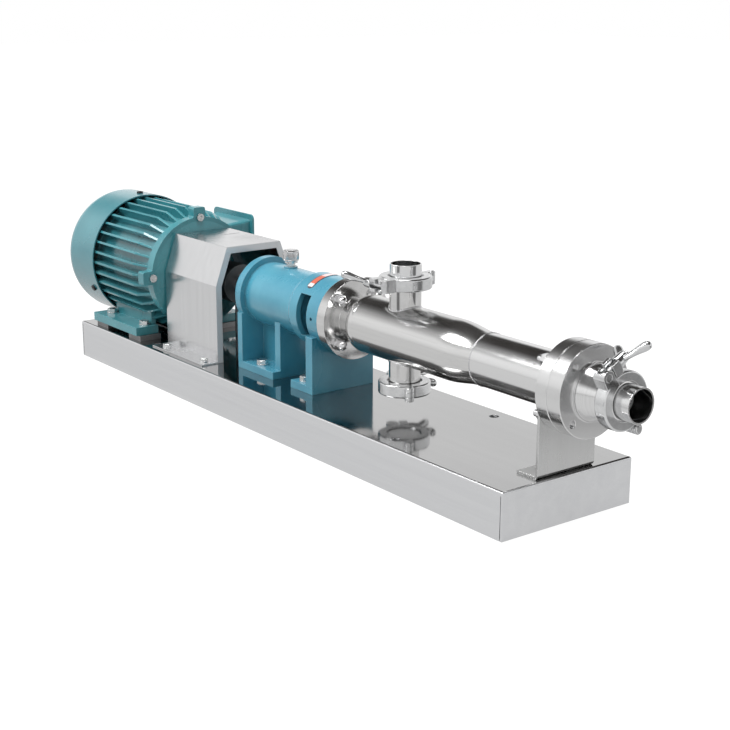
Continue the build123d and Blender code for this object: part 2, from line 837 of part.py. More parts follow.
# Guard: folded sheet, open at its ends, with lips inside and flanges on the base
guard_length = guard_front_x - guard_rear_x
guard_outline = [
    (-guard_half_width, -base_height), (-guard_half_width, guard_shoulder_z),
    (-guard_top_half, guard_top_z), (guard_top_half, guard_top_z),
    (guard_half_width, guard_shoulder_z), (guard_half_width, -base_height),
]
with BuildPart() as coupling_guard:
    for x, length, depth in (
        (guard_rear_x, guard_length, guard_sheet),
        (guard_rear_x, guard_sheet, guard_lip),
        (guard_front_x - guard_sheet, guard_sheet, guard_lip),
    ):
        with BuildSketch(Plane(origin=(x, 0, 0), x_dir=(0, 1, 0), z_dir=(1, 0, 0))):
            with BuildLine():
                Polyline(*guard_outline, close=True)
            make_face()
            offset(amount=-depth, kind=Kind.INTERSECTION, mode=Mode.SUBTRACT)
        extrude(amount=length)
    under = (-2 * base_height, base_top)
    block((guard_rear_x - 1, guard_front_x + 1), (-base_width, base_width), under, Mode.SUBTRACT)
    for side in (-1, 1):
        flange_y = (side * (guard_half_width - guard_sheet), side * (guard_half_width + guard_flange))
        block((guard_rear_x, guard_front_x), flange_y, (base_top, base_top + guard_sheet))
    for x, y in guard_holes:
        rod(level(x, y, base_top), guard_bolt / 2 + hole_gap, guard_sheet, Mode.SUBTRACT)
    slot_x = (guard_slot_x - guard_slot[2] / 2, guard_slot_x + guard_slot[2] / 2)
    block(slot_x, guard_slot[:2], (guard_top_z - 2 * guard_sheet, guard_top_z + 1), Mode.SUBTRACT)
save(coupling_guard.part, "coupling_guard")

guard_bolts = []
for x, y in guard_holes:
    guard_bolts += bolted(level(x, y, base_top + guard_sheet), guard_bolt, base_sheet + guard_sheet)
save(group(guard_bolts), "guard_bolts")

# Bearing housing: barrel, open lantern, legs and feet in one casting
bearing_bore = pump_bearing[1]
front_bearing_end = pump_bearing_front_x + pump_bearing[2]
window_middle = (window[0] + window[1]) / 2
lantern_cavity = lantern_front_x - lantern_wall
with BuildPart() as bearing_housing:
    rod(across(housing_rear_x), barrel_radius, lantern_rear_x - housing_rear_x)
    fillet(bearing_housing.edges().sort_by(Axis.X)[0], barrel_round)
    turned(shaft_line, [
        (lantern_rear_x - 10, 0), (lantern_rear_x - 10, barrel_radius), (lantern_rear_x, lantern_radius),
        (lantern_front_x, lantern_radius), (lantern_front_x, 0),
    ])
    rod(across(rear_leg[0]), leg_collar, rear_leg[1] - rear_leg[0])
    foot = (base_top, base_top + housing_foot)
    for x, half, top in (
        (rear_leg, leg_half_width, axis_z - barrel_radius / 2),
        (mid_rib, mid_rib_half_width, axis_z),
        ((rear_leg[1], mid_rib[0]), web_half, axis_z),
        (front_wall, leg_half_width, axis_z - lantern_radius / 2),
        ((front_foot_x, front_wall[1]), leg_half_width, foot[1]),
        ((rear_leg[0], mid_rib[1]), leg_half_width, foot[1]),
    ):
        block(x, (-half, half), (base_top, top))
    fillet(bearing_housing.edges().filter_by(Axis.Z).group_by(SortBy.LENGTH)[-1], 2)
    rod(level(oil_cup_x, 0, axis_z), oil_collar_radius, barrel_radius + oil_boss)
    rod(across(pump_bearing_rear_x), bearing_bore, front_bearing_end - pump_bearing_rear_x, Mode.SUBTRACT)
    rod(across(housing_rear_x), bearing_cover_radius, pump_bearing_rear_x - housing_rear_x, Mode.SUBTRACT)
    rod(across(front_bearing_end), bearing_cover_bore, lantern_front_x, Mode.SUBTRACT)
    cavity_x = lantern_rear_x + lantern_floor
    rod(across(cavity_x), lantern_bore, lantern_cavity - cavity_x, Mode.SUBTRACT)
    rod(across(lantern_cavity), casing_neck_radius, lantern_wall, Mode.SUBTRACT)
    window_z = (axis_z - window[2], axis_z + window[2])
    block(window[:2], (-2 * lantern_radius, 2 * lantern_radius), window_z, Mode.SUBTRACT)
    for angle in (0, 180):
        rod(spoke(sight_hole_x, lantern_bore - 2, angle), sight_hole_radius, lantern_radius, Mode.SUBTRACT)
    for angle in CORNERS:
        tapped = on_circle(lantern_cavity, casing_nut_circle, angle)
        rod(tapped, casing_stud / 2 + running_gap, lantern_wall, Mode.SUBTRACT)
    rod(level(oil_cup_x, 0, axis_z), oil_stem_radius - 1.5, 2 * barrel_radius, Mode.SUBTRACT)
    for x, y in housing_holes:
        rod(level(x, y, base_top), housing_bolt / 2 + hole_gap, housing_foot, Mode.SUBTRACT)
save(bearing_housing.part, "bearing_housing")

housing_bolts = []
for x, y in housing_holes:
    seat = level(x, y, base_top + housing_foot)
    housing_bolts += bolted(seat, housing_bolt, housing_foot + base_sheet)
save(group(housing_bolts), "housing_bolts")

shaft_bearings = ball_bearing(pump_bearing_rear_x, pump_bearing)
shaft_bearings += ball_bearing(pump_bearing_front_x, pump_bearing)
save(group(shaft_bearings), "shaft_bearings")

# Bearing cover let into the housing's rear face, with recesses for its screws
with BuildPart() as bearing_cover:
    cover_depth = pump_bearing_rear_x - housing_rear_x
    rod(across(housing_rear_x), bearing_cover_radius, cover_depth)
    rod(across(housing_rear_x), bearing_cover_bore, cover_depth, Mode.SUBTRACT)
    chamfer(bearing_cover.edges().group_by(Axis.X)[0], 0.8)
    for angle in socket_angles:
        rod(on_circle(housing_rear_x, socket_circle, angle), socket_radius, cover_depth / 2, Mode.SUBTRACT)
save(bearing_cover.part, "bearing_cover")

# Pump shaft, from the coupling to the pin joint's head inside the casing
rear_bearing_end = pump_bearing_rear_x + pump_bearing[2]
with BuildPart() as pump_shaft:
    rod(across(pump_shaft_end_x), pump_shaft_radius, shaft_step_x - pump_shaft_end_x)
    rod(across(shaft_step_x), bearing_seat_radius, seal_shaft_x - shaft_step_x)
    rod(across(rear_bearing_end), shaft_collar_radius, pump_bearing_front_x - rear_bearing_end)
    rod(across(seal_shaft_x), seal_shaft_radius, joint_head_x - seal_shaft_x)
    rod(across(joint_head_x), joint_head_radius, joint_head_length)
    chamfer(pump_shaft.edges().group_by(Axis.X)[0], 1)
    rod(across(shaft_joint_x - rod_end_reach - 1), joint_bore, 2 * joint_head_radius, Mode.SUBTRACT)
    cross = level(shaft_joint_x, 0, axis_z - joint_head_radius)
    rod(cross, pin_hole, 2 * joint_head_radius, Mode.SUBTRACT)
    key_x = (pump_key_x, pump_key_x + key_length)
    block(key_x, (-key_width / 2, key_width / 2), (key_floor, key_floor + key_height), Mode.SUBTRACT)
save(pump_shaft.part, "pump_shaft")

# Oil cup screwed into the boss, and its turning cap
oil_seat_z = axis_z + barrel_radius + oil_boss
oil_collar_z = oil_seat_z + oil_stem_height
oil_cap_z = oil_collar_z + oil_collar + swing_gap
thread_z = oil_seat_z - oil_thread_length
with BuildPart() as oil_cup:
    rod(level(oil_cup_x, 0, thread_z), oil_stem_radius - 1.5, oil_thread_length)
    hexagon(level(oil_cup_x, 0, oil_seat_z), 2 * oil_stem_radius, oil_stem_height)
    rod(level(oil_cup_x, 0, oil_collar_z), oil_collar_radius, oil_collar)
    rod(level(oil_cup_x, 0, oil_collar_z), oil_spigot_radius, oil_spigot)
    rod(level(oil_cup_x, 0, thread_z), oil_hole_radius, 2 * axis_z, Mode.SUBTRACT)
save(oil_cup.part, "oil_cup")

with BuildPart() as oil_cup_cap:
    rod(level(oil_cup_x, 0, oil_cap_z), oil_cap_radius, oil_cap_height)
    fillet(oil_cup_cap.edges().sort_by(Axis.Z)[-1], 2.5)
    bore_depth = oil_cap_height - oil_cap_wall
    rod(level(oil_cup_x, 0, oil_cap_z), oil_spigot_radius + swing_gap, bore_depth, Mode.SUBTRACT)
save(oil_cup_cap.part, "oil_cup_cap")

# Bare strip bent round the lantern, with rounded ends
with BuildPart() as label_strip:
    rod(across(strip_x - strip_width / 2), lantern_radius + strip_thickness, strip_width)
    rod(across(strip_x - strip_width / 2), lantern_radius, strip_width, Mode.SUBTRACT)
    strip_chord = 2 * lantern_radius * sin(radians((strip_end - strip_start) / 2))
    with BuildSketch(spoke(strip_x, lantern_radius / 2, (strip_start + strip_end) / 2)):
        RectangleRounded(strip_width, strip_chord, strip_width / 2 - 0.5)
    extrude(amount=lantern_radius, mode=Mode.INTERSECT)
save(label_strip.part, "label_strip")


def ferrule_face(face, sign, bore, tail):
    """Outline of a clamped pipe end whose face is at this place, facing sign."""
    slope = (ferrule_radius - tube_radius) * tan(radians(ferrule_slope))
    back = face - sign * ferrule_edge
    return [
        (face, bore), (face, ferrule_radius), (back, ferrule_radius),
        (back - sign * slope, tube_radius), (tail, tube_radius), (tail, bore),
    ]


# Suction casing: flange, neck, dome and long tube, with a port above and below
flange_x = lantern_front_x
seat_x = flange_x + seal_wall
neck_bore = casing_neck_radius - casing_wall
seat_end_x = seat_x + seat_thickness
liner_radius = stator_tube_radius - stator_tube_wall


def casing_curve(wall):
    """Upper outline of the casing, set in by a wall, from the neck to the stator."""
    rise = ThreePointArc(
        (casing_neck_x, casing_neck_radius - wall),
        (casing_neck_x + 5.5 + 0.3 * wall, casing_neck_radius + 5.7 - wall),
        (casing_dome_x, casing_radius - wall),
    )
    run = Line(rise @ 1, (taper_start_x, casing_radius - wall))
    Spline(run @ 1, (taper_end_x, stator_tube_radius - wall), tangents=[(1, 0), (1, 0)])


flange_end_x = flange_x + casing_flange
with BuildPart() as suction_casing:
    with BuildSketch(shaft_line):
        with BuildLine():
            Polyline(
                (taper_end_x, stator_tube_radius), (taper_end_x, 0), (flange_x, 0),
                (flange_x, casing_flange_radius), (flange_end_x, casing_flange_radius),
                (flange_end_x, casing_neck_radius), (casing_neck_x, casing_neck_radius),
            )
            casing_curve(0)
        make_face()
    revolve(axis=Axis(shaft_line.origin, shaft_line.x_dir))
    inlet_face = inlet_clamp_z - gasket / 2
    drain_face = drain_clamp_z + gasket / 2
    turned(port_line, ferrule_face(inlet_face, 1, 0, axis_z))
    turned(port_line, ferrule_face(drain_face, -1, 0, axis_z))
    with BuildSketch(shaft_line):
        with BuildLine():
            Polyline(
                (taper_end_x, stator_tube_radius - casing_wall), (taper_end_x, 0), (flange_x, 0),
                (flange_x, seat_bore + 2), (seat_x, seat_bore + 2), (seat_x, seat_radius),
                (seat_end_x, seat_radius), (seat_end_x, neck_bore), (casing_neck_x, neck_bore),
            )
            casing_curve(casing_wall)
        make_face()
    revolve(axis=Axis(shaft_line.origin, shaft_line.x_dir), mode=Mode.SUBTRACT)
    rod(level(port_x, 0, drain_face), port_bore, inlet_face - drain_face, Mode.SUBTRACT)
    spigot_radius = liner_radius + stator_tube_wall / 2
    rod(across(taper_end_x - stator_spigot), spigot_radius, stator_spigot, Mode.SUBTRACT)
    for angle in CORNERS:
        stud_hole = on_circle(flange_x, casing_nut_circle, angle)
        rod(stud_hole, casing_stud / 2 + hole_gap, casing_flange, Mode.SUBTRACT)
save(suction_casing.part, "suction_casing")

# Studs and cap nuts that hold the casing to the lantern
casing_nuts = []
stud_length = lantern_wall + casing_flange + 0.9 * casing_stud
for angle in CORNERS:
    with BuildPart() as stud:
        rod(on_circle(lantern_cavity, casing_nut_circle, angle), casing_stud / 2, stud_length)
    seat = on_circle(flange_end_x, casing_nut_circle, angle)
    cap = acorn_nut(seat.offset(0.2 * casing_stud), casing_stud)
    casing_nuts += [stud.part, washer(seat, casing_stud), cap]
save(group(casing_nuts), "casing_nuts")

# Mechanical seal: fixed seat, turning ring and its spring
with BuildPart() as seal_seat:
    rod(across(seat_x), seat_radius, seat_thickness)
    rod(across(seat_x), seat_bore, seat_thickness, Mode.SUBTRACT)
save(seal_seat.part, "seal_seat")

ring_x = seat_end_x + seal_face_gap
with BuildPart() as seal_ring:
    rod(across(ring_x), seal_ring_radius, seal_ring_length)
    rod(across(ring_x), seal_shaft_radius, seal_ring_length, Mode.SUBTRACT)
save(seal_ring.part, "seal_ring")

spring_x = ring_x + seal_ring_length + spring_wire
spring_height = joint_head_x - spring_x - spring_wire
with BuildPart() as seal_spring:
    helix = Helix(pitch=spring_pitch, height=spring_height, radius=spring_radius)
    coil = across(spring_x).location * helix
    with BuildSketch(Plane(origin=coil @ 0, z_dir=coil % 0)):
        Circle(spring_wire)
    sweep(path=coil)
save(seal_spring.part, "seal_spring")

# Stator: steel tube with a rear disc, lined with rubber round a twisted cavity
stator_end_x = end_disc_x + end_disc
with BuildPart() as stator_tube:
    rod(across(stator_start_x), stator_tube_radius, stator_end_x - stator_start_x)
    rod(across(stator_start_x - stator_spigot), spigot_radius, stator_spigot)
    rod(across(end_disc_x), end_radius, end_disc)
    chamfer(stator_tube.edges().filter_by(GeomType.CIRCLE).sort_by(SortBy.RADIUS)[-2:], disc_edge)
    rod(across(stator_start_x - stator_spigot), liner_radius, 2 * base_length, Mode.SUBTRACT)
    for angle in CORNERS:
        tie_hole = on_circle(end_disc_x, tie_circle, angle)
        rod(tie_hole, tie_bolt / 2 + hole_gap, end_disc, Mode.SUBTRACT)
save(stator_tube.part, "stator_tube")

rotor_start_x = rotor_head_end_x
stator_turn = 360 * (stator_start_x - rotor_start_x) / (2 * rotor_pitch)
stator_plane = across(stator_start_x)
stator_length = stator_end_x - stator_start_x
with BuildPart() as stator_cavity:
    twist = Helix(pitch=2 * rotor_pitch, height=stator_length, radius=stator_tube_radius)
    guide = stator_plane.location * twist
    spine = stator_plane.location * Line((0, 0, 0), (0, 0, stator_length))
    with BuildSketch(stator_plane):
        SlotCenterToCenter(4 * eccentricity, 2 * (rotor_radius + rotor_clearance), rotation=stator_turn)
    sweep(path=spine, binormal=guide)
with BuildPart() as stator_rubber:
    rod(stator_plane, liner_radius, stator_length)
    add(stator_cavity.part, mode=Mode.SUBTRACT)
save(stator_rubber.part, "stator_rubber")

# Rotor: a single-start screw, its axis one eccentricity to the side of the shaft line
rotor_axis_y = eccentricity


def rotor_plane(x):
    """Plane square to the rotor's own axis."""
    return Plane(origin=(x, rotor_axis_y, axis_z), x_dir=(0, 1, 0), z_dir=(1, 0, 0))


with BuildPart() as rotor:
    screw = Helix(pitch=rotor_pitch, height=rotor_end_x - rotor_start_x, radius=eccentricity)
    centre_path = rotor_plane(rotor_start_x).location * screw
    with BuildSketch(Plane(origin=centre_path @ 0, x_dir=(0, 1, 0), z_dir=(1, 0, 0))):
        Circle(rotor_radius)
    sweep(path=centre_path, normal=(1, 0, 0))
    rod(rotor_plane(rotor_head_x), rotor_head_radius, rotor_head_end_x - rotor_head_x)
    socket_depth = rotor_joint_x + rod_end_reach + 1 - rotor_head_x
    rod(rotor_plane(rotor_head_x), joint_bore, socket_depth, Mode.SUBTRACT)
    cross = level(rotor_joint_x, rotor_axis_y, axis_z - rotor_head_radius)
    rod(cross, pin_hole, 2 * rotor_head_radius, Mode.SUBTRACT)
save(rotor.part, "rotor")

# Sleeve that closes the rotor's pin joint
with BuildPart() as rotor_joint_sleeve:
    sleeve = rotor_plane(rotor_joint_x - sleeve_length / 2)
    rod(sleeve, rotor_head_radius + swing_gap + sleeve_wall, sleeve_length)
    rod(sleeve, rotor_head_radius + swing_gap, sleeve_length, Mode.SUBTRACT)
save(rotor_joint_sleeve.part, "rotor_joint_sleeve")

# Connecting rod between the joints, and the pins through its ends
rod_span = rotor_joint_x - shaft_joint_x
rod_length = hypot(rod_span, rotor_axis_y)
rod_way = (rod_span, rotor_axis_y, 0)
rod_line = Plane(origin=(shaft_joint_x, 0, axis_z), x_dir=(0, 0, 1), z_dir=rod_way)
with BuildPart() as coupling_rod:
    rod(rod_line, rod_radius, rod_length)
    for place in (0, rod_length):
        rod(rod_line.offset(place - rod_end_reach), rod_end_radius, 2 * rod_end_reach)
        end_pin = Plane(rod_line.offset(place).origin - (0, 0, rod_end_radius), z_dir=(0, 0, 1))
        rod(end_pin, joint_pin + running_gap, 2 * rod_end_radius, Mode.SUBTRACT)
save(coupling_rod.part, "coupling_rod")

pins = []
for place, reach in ((0, joint_head_radius - 1), (rod_length, rotor_head_radius - 0.5)):
    with BuildPart() as pin:
        rod(Plane(rod_line.offset(place).origin - (0, 0, reach), z_dir=(0, 0, 1)), joint_pin, 2 * reach)
    pins.append(pin.part)
save(group(pins), "rod_pins")

# Discharge cover: front disc with a reducer down to the outlet's clamped end
cover_face_x = stator_end_x + cover_disc
reducer_x = cover_face_x + reducer_ring[1]
reducer_end_x = reducer_x + reducer_length
outlet_face = outlet_clamp_x - gasket / 2
ferrule_tail = reducer_end_x + 3
with BuildPart() as discharge_cover:
    turned(shaft_line, [
        (stator_end_x, liner_radius), (stator_end_x, end_radius), (cover_face_x, end_radius),
        (cover_face_x, reducer_ring[0]), (reducer_x, reducer_ring[0]), (reducer_x, reducer_start),
        (reducer_end_x, reducer_end), (ferrule_tail, tube_radius),
        *ferrule_face(outlet_face, 1, port_bore, ferrule_tail)[3:1:-1],
        (outlet_face, ferrule_radius), (outlet_face, port_bore), (reducer_end_x, port_bore),
        (reducer_x, reducer_bore), (cover_face_x, liner_radius),
    ])
    chamfer(discharge_cover.edges().filter_by(GeomType.CIRCLE).sort_by(SortBy.RADIUS)[-2:], disc_edge)
    for angle in CORNERS:
        tapped = on_circle(stator_end_x, tie_circle, angle)
        rod(tapped, tie_bolt / 2 + running_gap, cover_disc, Mode.SUBTRACT)
        with Locations(on_circle(cover_face_x - disc_edge / 2, tie_circle, angle)):
            Cone(tie_bolt / 2, tie_bolt / 2 + disc_edge, disc_edge, mode=Mode.SUBTRACT)
save(discharge_cover.part, "discharge_cover")

# Tie bolts, tapped into the cover from behind, each with a washer and a nut
# against the rear disc or, for the lower two, against the bracket
tie_bolts = []
for angle in CORNERS:
    nut_face_x = end_disc_x if angle < 180 else bracket_x
    bolt_start_x = nut_face_x - tie_tail
    with BuildPart() as tie:
        stem = on_circle(bolt_start_x, tie_circle, angle)
        rod(stem, tie_bolt / 2, cover_face_x - tie_end_depth - bolt_start_x)
        chamfer(tie.edges().group_by(Axis.X)[0], 0.1 * tie_bolt)
    centre = on_circle(nut_face_x, tie_circle, angle).origin
    behind = Plane(origin=centre, x_dir=(0, 1, 0), z_dir=(-1, 0, 0))
    nut = hex_nut(behind.offset(0.2 * tie_bolt), tie_bolt)
    tie_bolts += [tie.part, washer(behind, tie_bolt), nut]
save(group(tie_bolts), "tie_bolts")

# Angle bracket that carries the discharge end
bracket_y = (-bracket_half_width, bracket_half_width)
bracket_rear_x = end_disc_x - bracket_foot
with BuildPart() as support_bracket:
    block((bracket_x, end_disc_x), bracket_y, (base_top, bracket_top_z))
    block((bracket_rear_x, end_disc_x), bracket_y, (base_top, base_top + bracket_plate))
    bends = support_bracket.edges().filter_by(Axis.Y)
    fillet(bends.group_by(Axis.X)[-1].group_by(Axis.Z)[0], bracket_bend)
    inner_bend = bends.sort_by_distance((bracket_x, 0, base_top + bracket_plate))[0]
    fillet(inner_bend, bracket_bend - bracket_plate)
    rod(across(bracket_x), stator_tube_radius + sheet_gap, bracket_plate, Mode.SUBTRACT)
    for angle in CORNERS[2:]:
        tie_hole = on_circle(bracket_x, tie_circle, angle)
        rod(tie_hole, tie_bolt / 2 + hole_gap, bracket_plate, Mode.SUBTRACT)
    for x, y in bracket_holes:
        rod(level(x, y, base_top), bracket_bolt / 2 + hole_gap, bracket_plate, Mode.SUBTRACT)
save(support_bracket.part, "support_bracket")

bracket_bolts = []
for x, y in bracket_holes:
    seat = level(x, y, base_top + bracket_plate)
    bracket_bolts += bolted(seat, bracket_bolt, bracket_plate + base_sheet)
save(group(bracket_bolts), "bracket_bolts")

# Clamped pipe ends on the far side of each joint, and the blank cap below
outlet_far = outlet_clamp_x + gasket / 2
inlet_far = inlet_clamp_z + gasket / 2
with BuildPart() as outlet_ferrule:
    turned(shaft_line, ferrule_face(outlet_far, -1, tube_bore, outlet_end_x))
save(outlet_ferrule.part, "outlet_ferrule")

with BuildPart() as inlet_ferrule:
    turned(port_line, ferrule_face(inlet_far, -1, tube_bore, inlet_clamp_z + ferrule_length))
save(inlet_ferrule.part, "inlet_ferrule")

drain_far = drain_clamp_z - gasket / 2
slope_depth = (ferrule_radius - tube_radius) * tan(radians(ferrule_slope))
drain_edge = drain_far - ferrule_edge
drain_under = drain_edge - slope_depth
with BuildPart() as drain_cap:
    turned(port_line, [
        (drain_far, 0), (drain_far, ferrule_radius), (drain_edge, ferrule_radius),
        (drain_under, tube_radius), (drain_under, 0),
    ])
save(drain_cap.part, "drain_cap")

gaskets = []
gasket_edge = ferrule_radius - hole_gap
for line, place in ((shaft_line, outlet_face), (port_line, inlet_face), (port_line, drain_far)):
    with BuildPart() as seal:
        turned(line, [
            (place, gasket_bore), (place, gasket_edge),
            (place + gasket, gasket_edge), (place + gasket, gasket_bore),
        ])
    gaskets.append(seal.part)
save(group(gaskets), "clamp_gaskets")

# One pipe clamp in its own frame: z along the pipe, x towards the swing bolt
pipe_line = Plane(origin=(0, 0, 0), x_dir=(0, 0, 1), z_dir=(0, 1, 0))
flat_z = gasket / 2 + ferrule_edge + clamp_room
mouth_z = flat_z + (clamp_groove - clamp_mouth) * tan(radians(ferrule_slope))
pivot_x, pivot_y = clamp_pivot
wide = (-clamp_half_width, clamp_half_width)
hinge_x = (-clamp_hinge, -ear_x[0])
slot_x = (pivot_x - fork_slot, 2 * pivot_x)
slot_z = (-fork_slot, fork_slot)


def cross_pin(x, y, radius, z=wide, mode=Mode.ADD):
    """Round bar along the pipe at a place beside it."""
    rod(Plane(origin=(x, y, z[0])), radius, z[1] - z[0], mode)


def clamp_ring():
    """Full band with its V-shaped groove, from which each half is cut."""
    section = []
    for sign in (-1, 1):
        corners = [
            (sign * clamp_half_width, clamp_radius), (sign * clamp_half_width, clamp_mouth),
            (sign * mouth_z, clamp_mouth), (sign * flat_z, clamp_groove),
        ]
        section += corners if sign < 0 else corners[::-1]
    turned(pipe_line, section)


with BuildPart() as bolt_half:
    clamp_ring()
    fillet(bolt_half.edges().filter_by(GeomType.CIRCLE).sort_by(SortBy.RADIUS)[-2:], clamp_round)
    cross_pin(pivot_x, pivot_y, lug_radius)
    block((ear_x[0], pivot_x), (pivot_y - lug_radius, pivot_y + lug_radius), wide)
    block((-2 * clamp_hinge, 2 * clamp_hinge), (-clamp_split, clamp_hinge), wide, Mode.SUBTRACT)
    block(hinge_x, (-knuckle_radius, -clamp_split), (-knuckle_half, knuckle_half))
    cross_pin(-clamp_hinge, 0, knuckle_radius, (-knuckle_half, knuckle_half))
    cross_pin(-clamp_hinge, 0, hinge_pin + running_gap, mode=Mode.SUBTRACT)
    cross_pin(pivot_x, pivot_y, pivot_bar + swing_gap, mode=Mode.SUBTRACT)
    block(slot_x, (pivot_y - fork_slot, clamp_hinge), slot_z, Mode.SUBTRACT)

with BuildPart() as fork_half:
    clamp_ring()
    fillet(fork_half.edges().filter_by(GeomType.CIRCLE).sort_by(SortBy.RADIUS)[-2:], clamp_round)
    block((-2 * clamp_hinge, 2 * clamp_hinge), (-clamp_hinge, clamp_split), wide, Mode.SUBTRACT)
    for span in ((wide[0], -knuckle_half - swing_gap), (knuckle_half + swing_gap, wide[1])):
        block(hinge_x, (clamp_split, knuckle_radius), span)
        cross_pin(-clamp_hinge, 0, knuckle_radius, span)
    cross_pin(-clamp_hinge, 0, hinge_pin + running_gap, mode=Mode.SUBTRACT)

# The fork is welded to its half of the band. Its top is round about the swing bolt's
# pivot, so that the nut clears it as the bolt swings.
with BuildPart() as fork:
    with BuildSketch(Plane.XY.offset(wide[0])):
        with Locations((pivot_x, pivot_y)):
            Circle(ear_reach)
        with Locations(((ear_x[0] + ear_x[1]) / 2, (ear_y[0] + ear_y[1]) / 2)):
            Rectangle(ear_x[1] - ear_x[0], ear_y[1] - ear_y[0], mode=Mode.INTERSECT)
    extrude(amount=2 * clamp_half_width)
    block(slot_x, (0, clamp_hinge), slot_z, Mode.SUBTRACT)
    cross_pin(0, 0, clamp_radius, mode=Mode.SUBTRACT)

with BuildPart() as clamp_pin:
    cross_pin(-clamp_hinge, 0, hinge_pin)
    cross_pin(-clamp_hinge, 0, hinge_pin_head, (wide[0] - 1, wide[0]))
    cross_pin(-clamp_hinge, 0, hinge_pin_head, (wide[1], wide[1] + 1))

# Swing bolt: its bar lies in the lug of one half, its shank in both forks
along_bolt = Plane(origin=(pivot_x, pivot_y, 0), x_dir=(1, 0, 0), z_dir=(0, 1, 0))
with BuildPart() as swing_bolt:
    cross_pin(pivot_x, pivot_y, pivot_bar, (wide[0] + swing_gap, wide[1] - swing_gap))
    rod(along_bolt, clamp_bolt_radius, clamp_bolt_length)
    chamfer(swing_bolt.edges().group_by(Axis.Y)[-1], 0.6)

# Wing nut: its wings rise away from the clamp, so that they clear the ring as it turns
nut_y = pivot_y + ear_reach + nut_lift
wing_plane = Plane(origin=(pivot_x, nut_y, 0), x_dir=(0, 0, 1), z_dir=(-1, 0, 0))
with BuildPart() as wing_nut:
    with BuildSketch(wing_plane):
        for side in (-1, 1):
            with BuildLine():
                lower = Polyline((0, 2), (side * 7, 3), (side * 14, 10.5), (side * 20, 17), (side * 27, 23))
                tip = ThreePointArc(lower @ 1, (side * 29, 26.5), (side * 25, 29))
                Polyline(tip @ 1, (side * 17, 25), (side * 6, nut_height - 1), (0, nut_height - 1), (0, 2))
            make_face()
    extrude(amount=wing_thickness / 2, both=True)
    with Locations(along_bolt.offset(ear_reach + nut_lift)):
        Cone(nut_hub, nut_hub - 1, nut_height, align=SEAT)
        Cylinder(clamp_bolt_radius + running_gap, nut_height, align=SEAT, mode=Mode.SUBTRACT)

# Where each clamp sits: centre, direction of the bolt side, pipe direction and
# how far its wing nut is turned
outlet_side = (0, cos(radians(outlet_bolt_angle)), sin(radians(outlet_bolt_angle)))
drain_side = (cos(radians(drain_bolt_angle)), sin(radians(drain_bolt_angle)), 0)
clamp_places = {
    "outlet": ((outlet_clamp_x, 0, axis_z), outlet_side, (-1, 0, 0), outlet_nut_turn),
    "inlet": ((port_x, 0, inlet_clamp_z), (0, -1, 0), (0, 0, -1), inlet_nut_turn),
    "drain": ((port_x, 0, drain_clamp_z), drain_side, (0, 0, -1), drain_nut_turn),
}
for name, (centre, bolt_side, pipe, turn) in clamp_places.items():
    place = Plane(origin=centre, x_dir=bolt_side, z_dir=pipe).location
    clamp = [place * piece.part for piece in (bolt_half, fork_half, fork, clamp_pin)]
    save(group(clamp), f"{name}_clamp")
    save(place * swing_bolt.part, f"{name}_clamp_bolt")
    turned_nut = wing_nut.part.rotate(Axis((pivot_x, pivot_y, 0), (0, 1, 0)), turn)
    save(place * turned_nut, f"{name}_wing_nut")
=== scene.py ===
import json
from math import cos, pi, radians, sin, sqrt

import bpy
from mathutils import Matrix, Vector


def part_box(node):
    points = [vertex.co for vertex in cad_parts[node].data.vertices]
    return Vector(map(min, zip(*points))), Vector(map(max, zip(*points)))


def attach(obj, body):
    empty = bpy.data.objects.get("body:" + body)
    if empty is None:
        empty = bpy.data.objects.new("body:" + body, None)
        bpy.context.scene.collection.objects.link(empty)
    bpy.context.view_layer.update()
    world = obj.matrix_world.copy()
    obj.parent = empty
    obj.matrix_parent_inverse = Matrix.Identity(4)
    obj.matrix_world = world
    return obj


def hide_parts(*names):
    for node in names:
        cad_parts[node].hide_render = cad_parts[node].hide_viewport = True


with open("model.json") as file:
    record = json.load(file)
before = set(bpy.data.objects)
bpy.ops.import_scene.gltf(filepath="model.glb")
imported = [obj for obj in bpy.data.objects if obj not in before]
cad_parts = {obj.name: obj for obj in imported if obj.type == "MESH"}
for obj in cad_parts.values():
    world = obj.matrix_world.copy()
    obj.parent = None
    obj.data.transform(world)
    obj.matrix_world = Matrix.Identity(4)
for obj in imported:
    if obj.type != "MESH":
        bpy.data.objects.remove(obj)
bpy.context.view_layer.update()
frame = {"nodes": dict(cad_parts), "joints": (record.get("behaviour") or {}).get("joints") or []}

# Camera. A long lens stands beyond the outlet, on the near side and a little above the
# pump, and looks back along the shaft line.
camera_place = Vector((1.44583, -1.01407, 0.54639))
camera_azimuth = radians(52.634)
camera_elevation = radians(15.089)
camera_roll = radians(0.189)
backward = Vector((
    sin(camera_azimuth) * cos(camera_elevation),
    -cos(camera_azimuth) * cos(camera_elevation),
    sin(camera_elevation),
))
level_right = Vector((cos(camera_azimuth), sin(camera_azimuth), 0))
level_up = backward.cross(level_right)
right = level_right * cos(camera_roll) + level_up * sin(camera_roll)
up = level_up * cos(camera_roll) - level_right * sin(camera_roll)
turned_to_pump = Matrix((right, up, backward)).transposed().to_4x4()
lens = bpy.data.cameras.new("long_lens")
lens.lens = 68.68
lens.sensor_width = 36
camera = bpy.data.objects.new("camera", lens)
bpy.context.scene.collection.objects.link(camera)
camera.matrix_world = Matrix.Translation(camera_place) @ turned_to_pump
bpy.context.scene.camera = camera
bpy.context.scene.view_settings.view_transform = "Standard"

# Studio air. Reflections see a light wall all round under a dim ceiling, and a black flag
# high on the far side, which draws the dark band on the polished tubes. Loose light comes
# mostly from above, and the camera sees plain white.


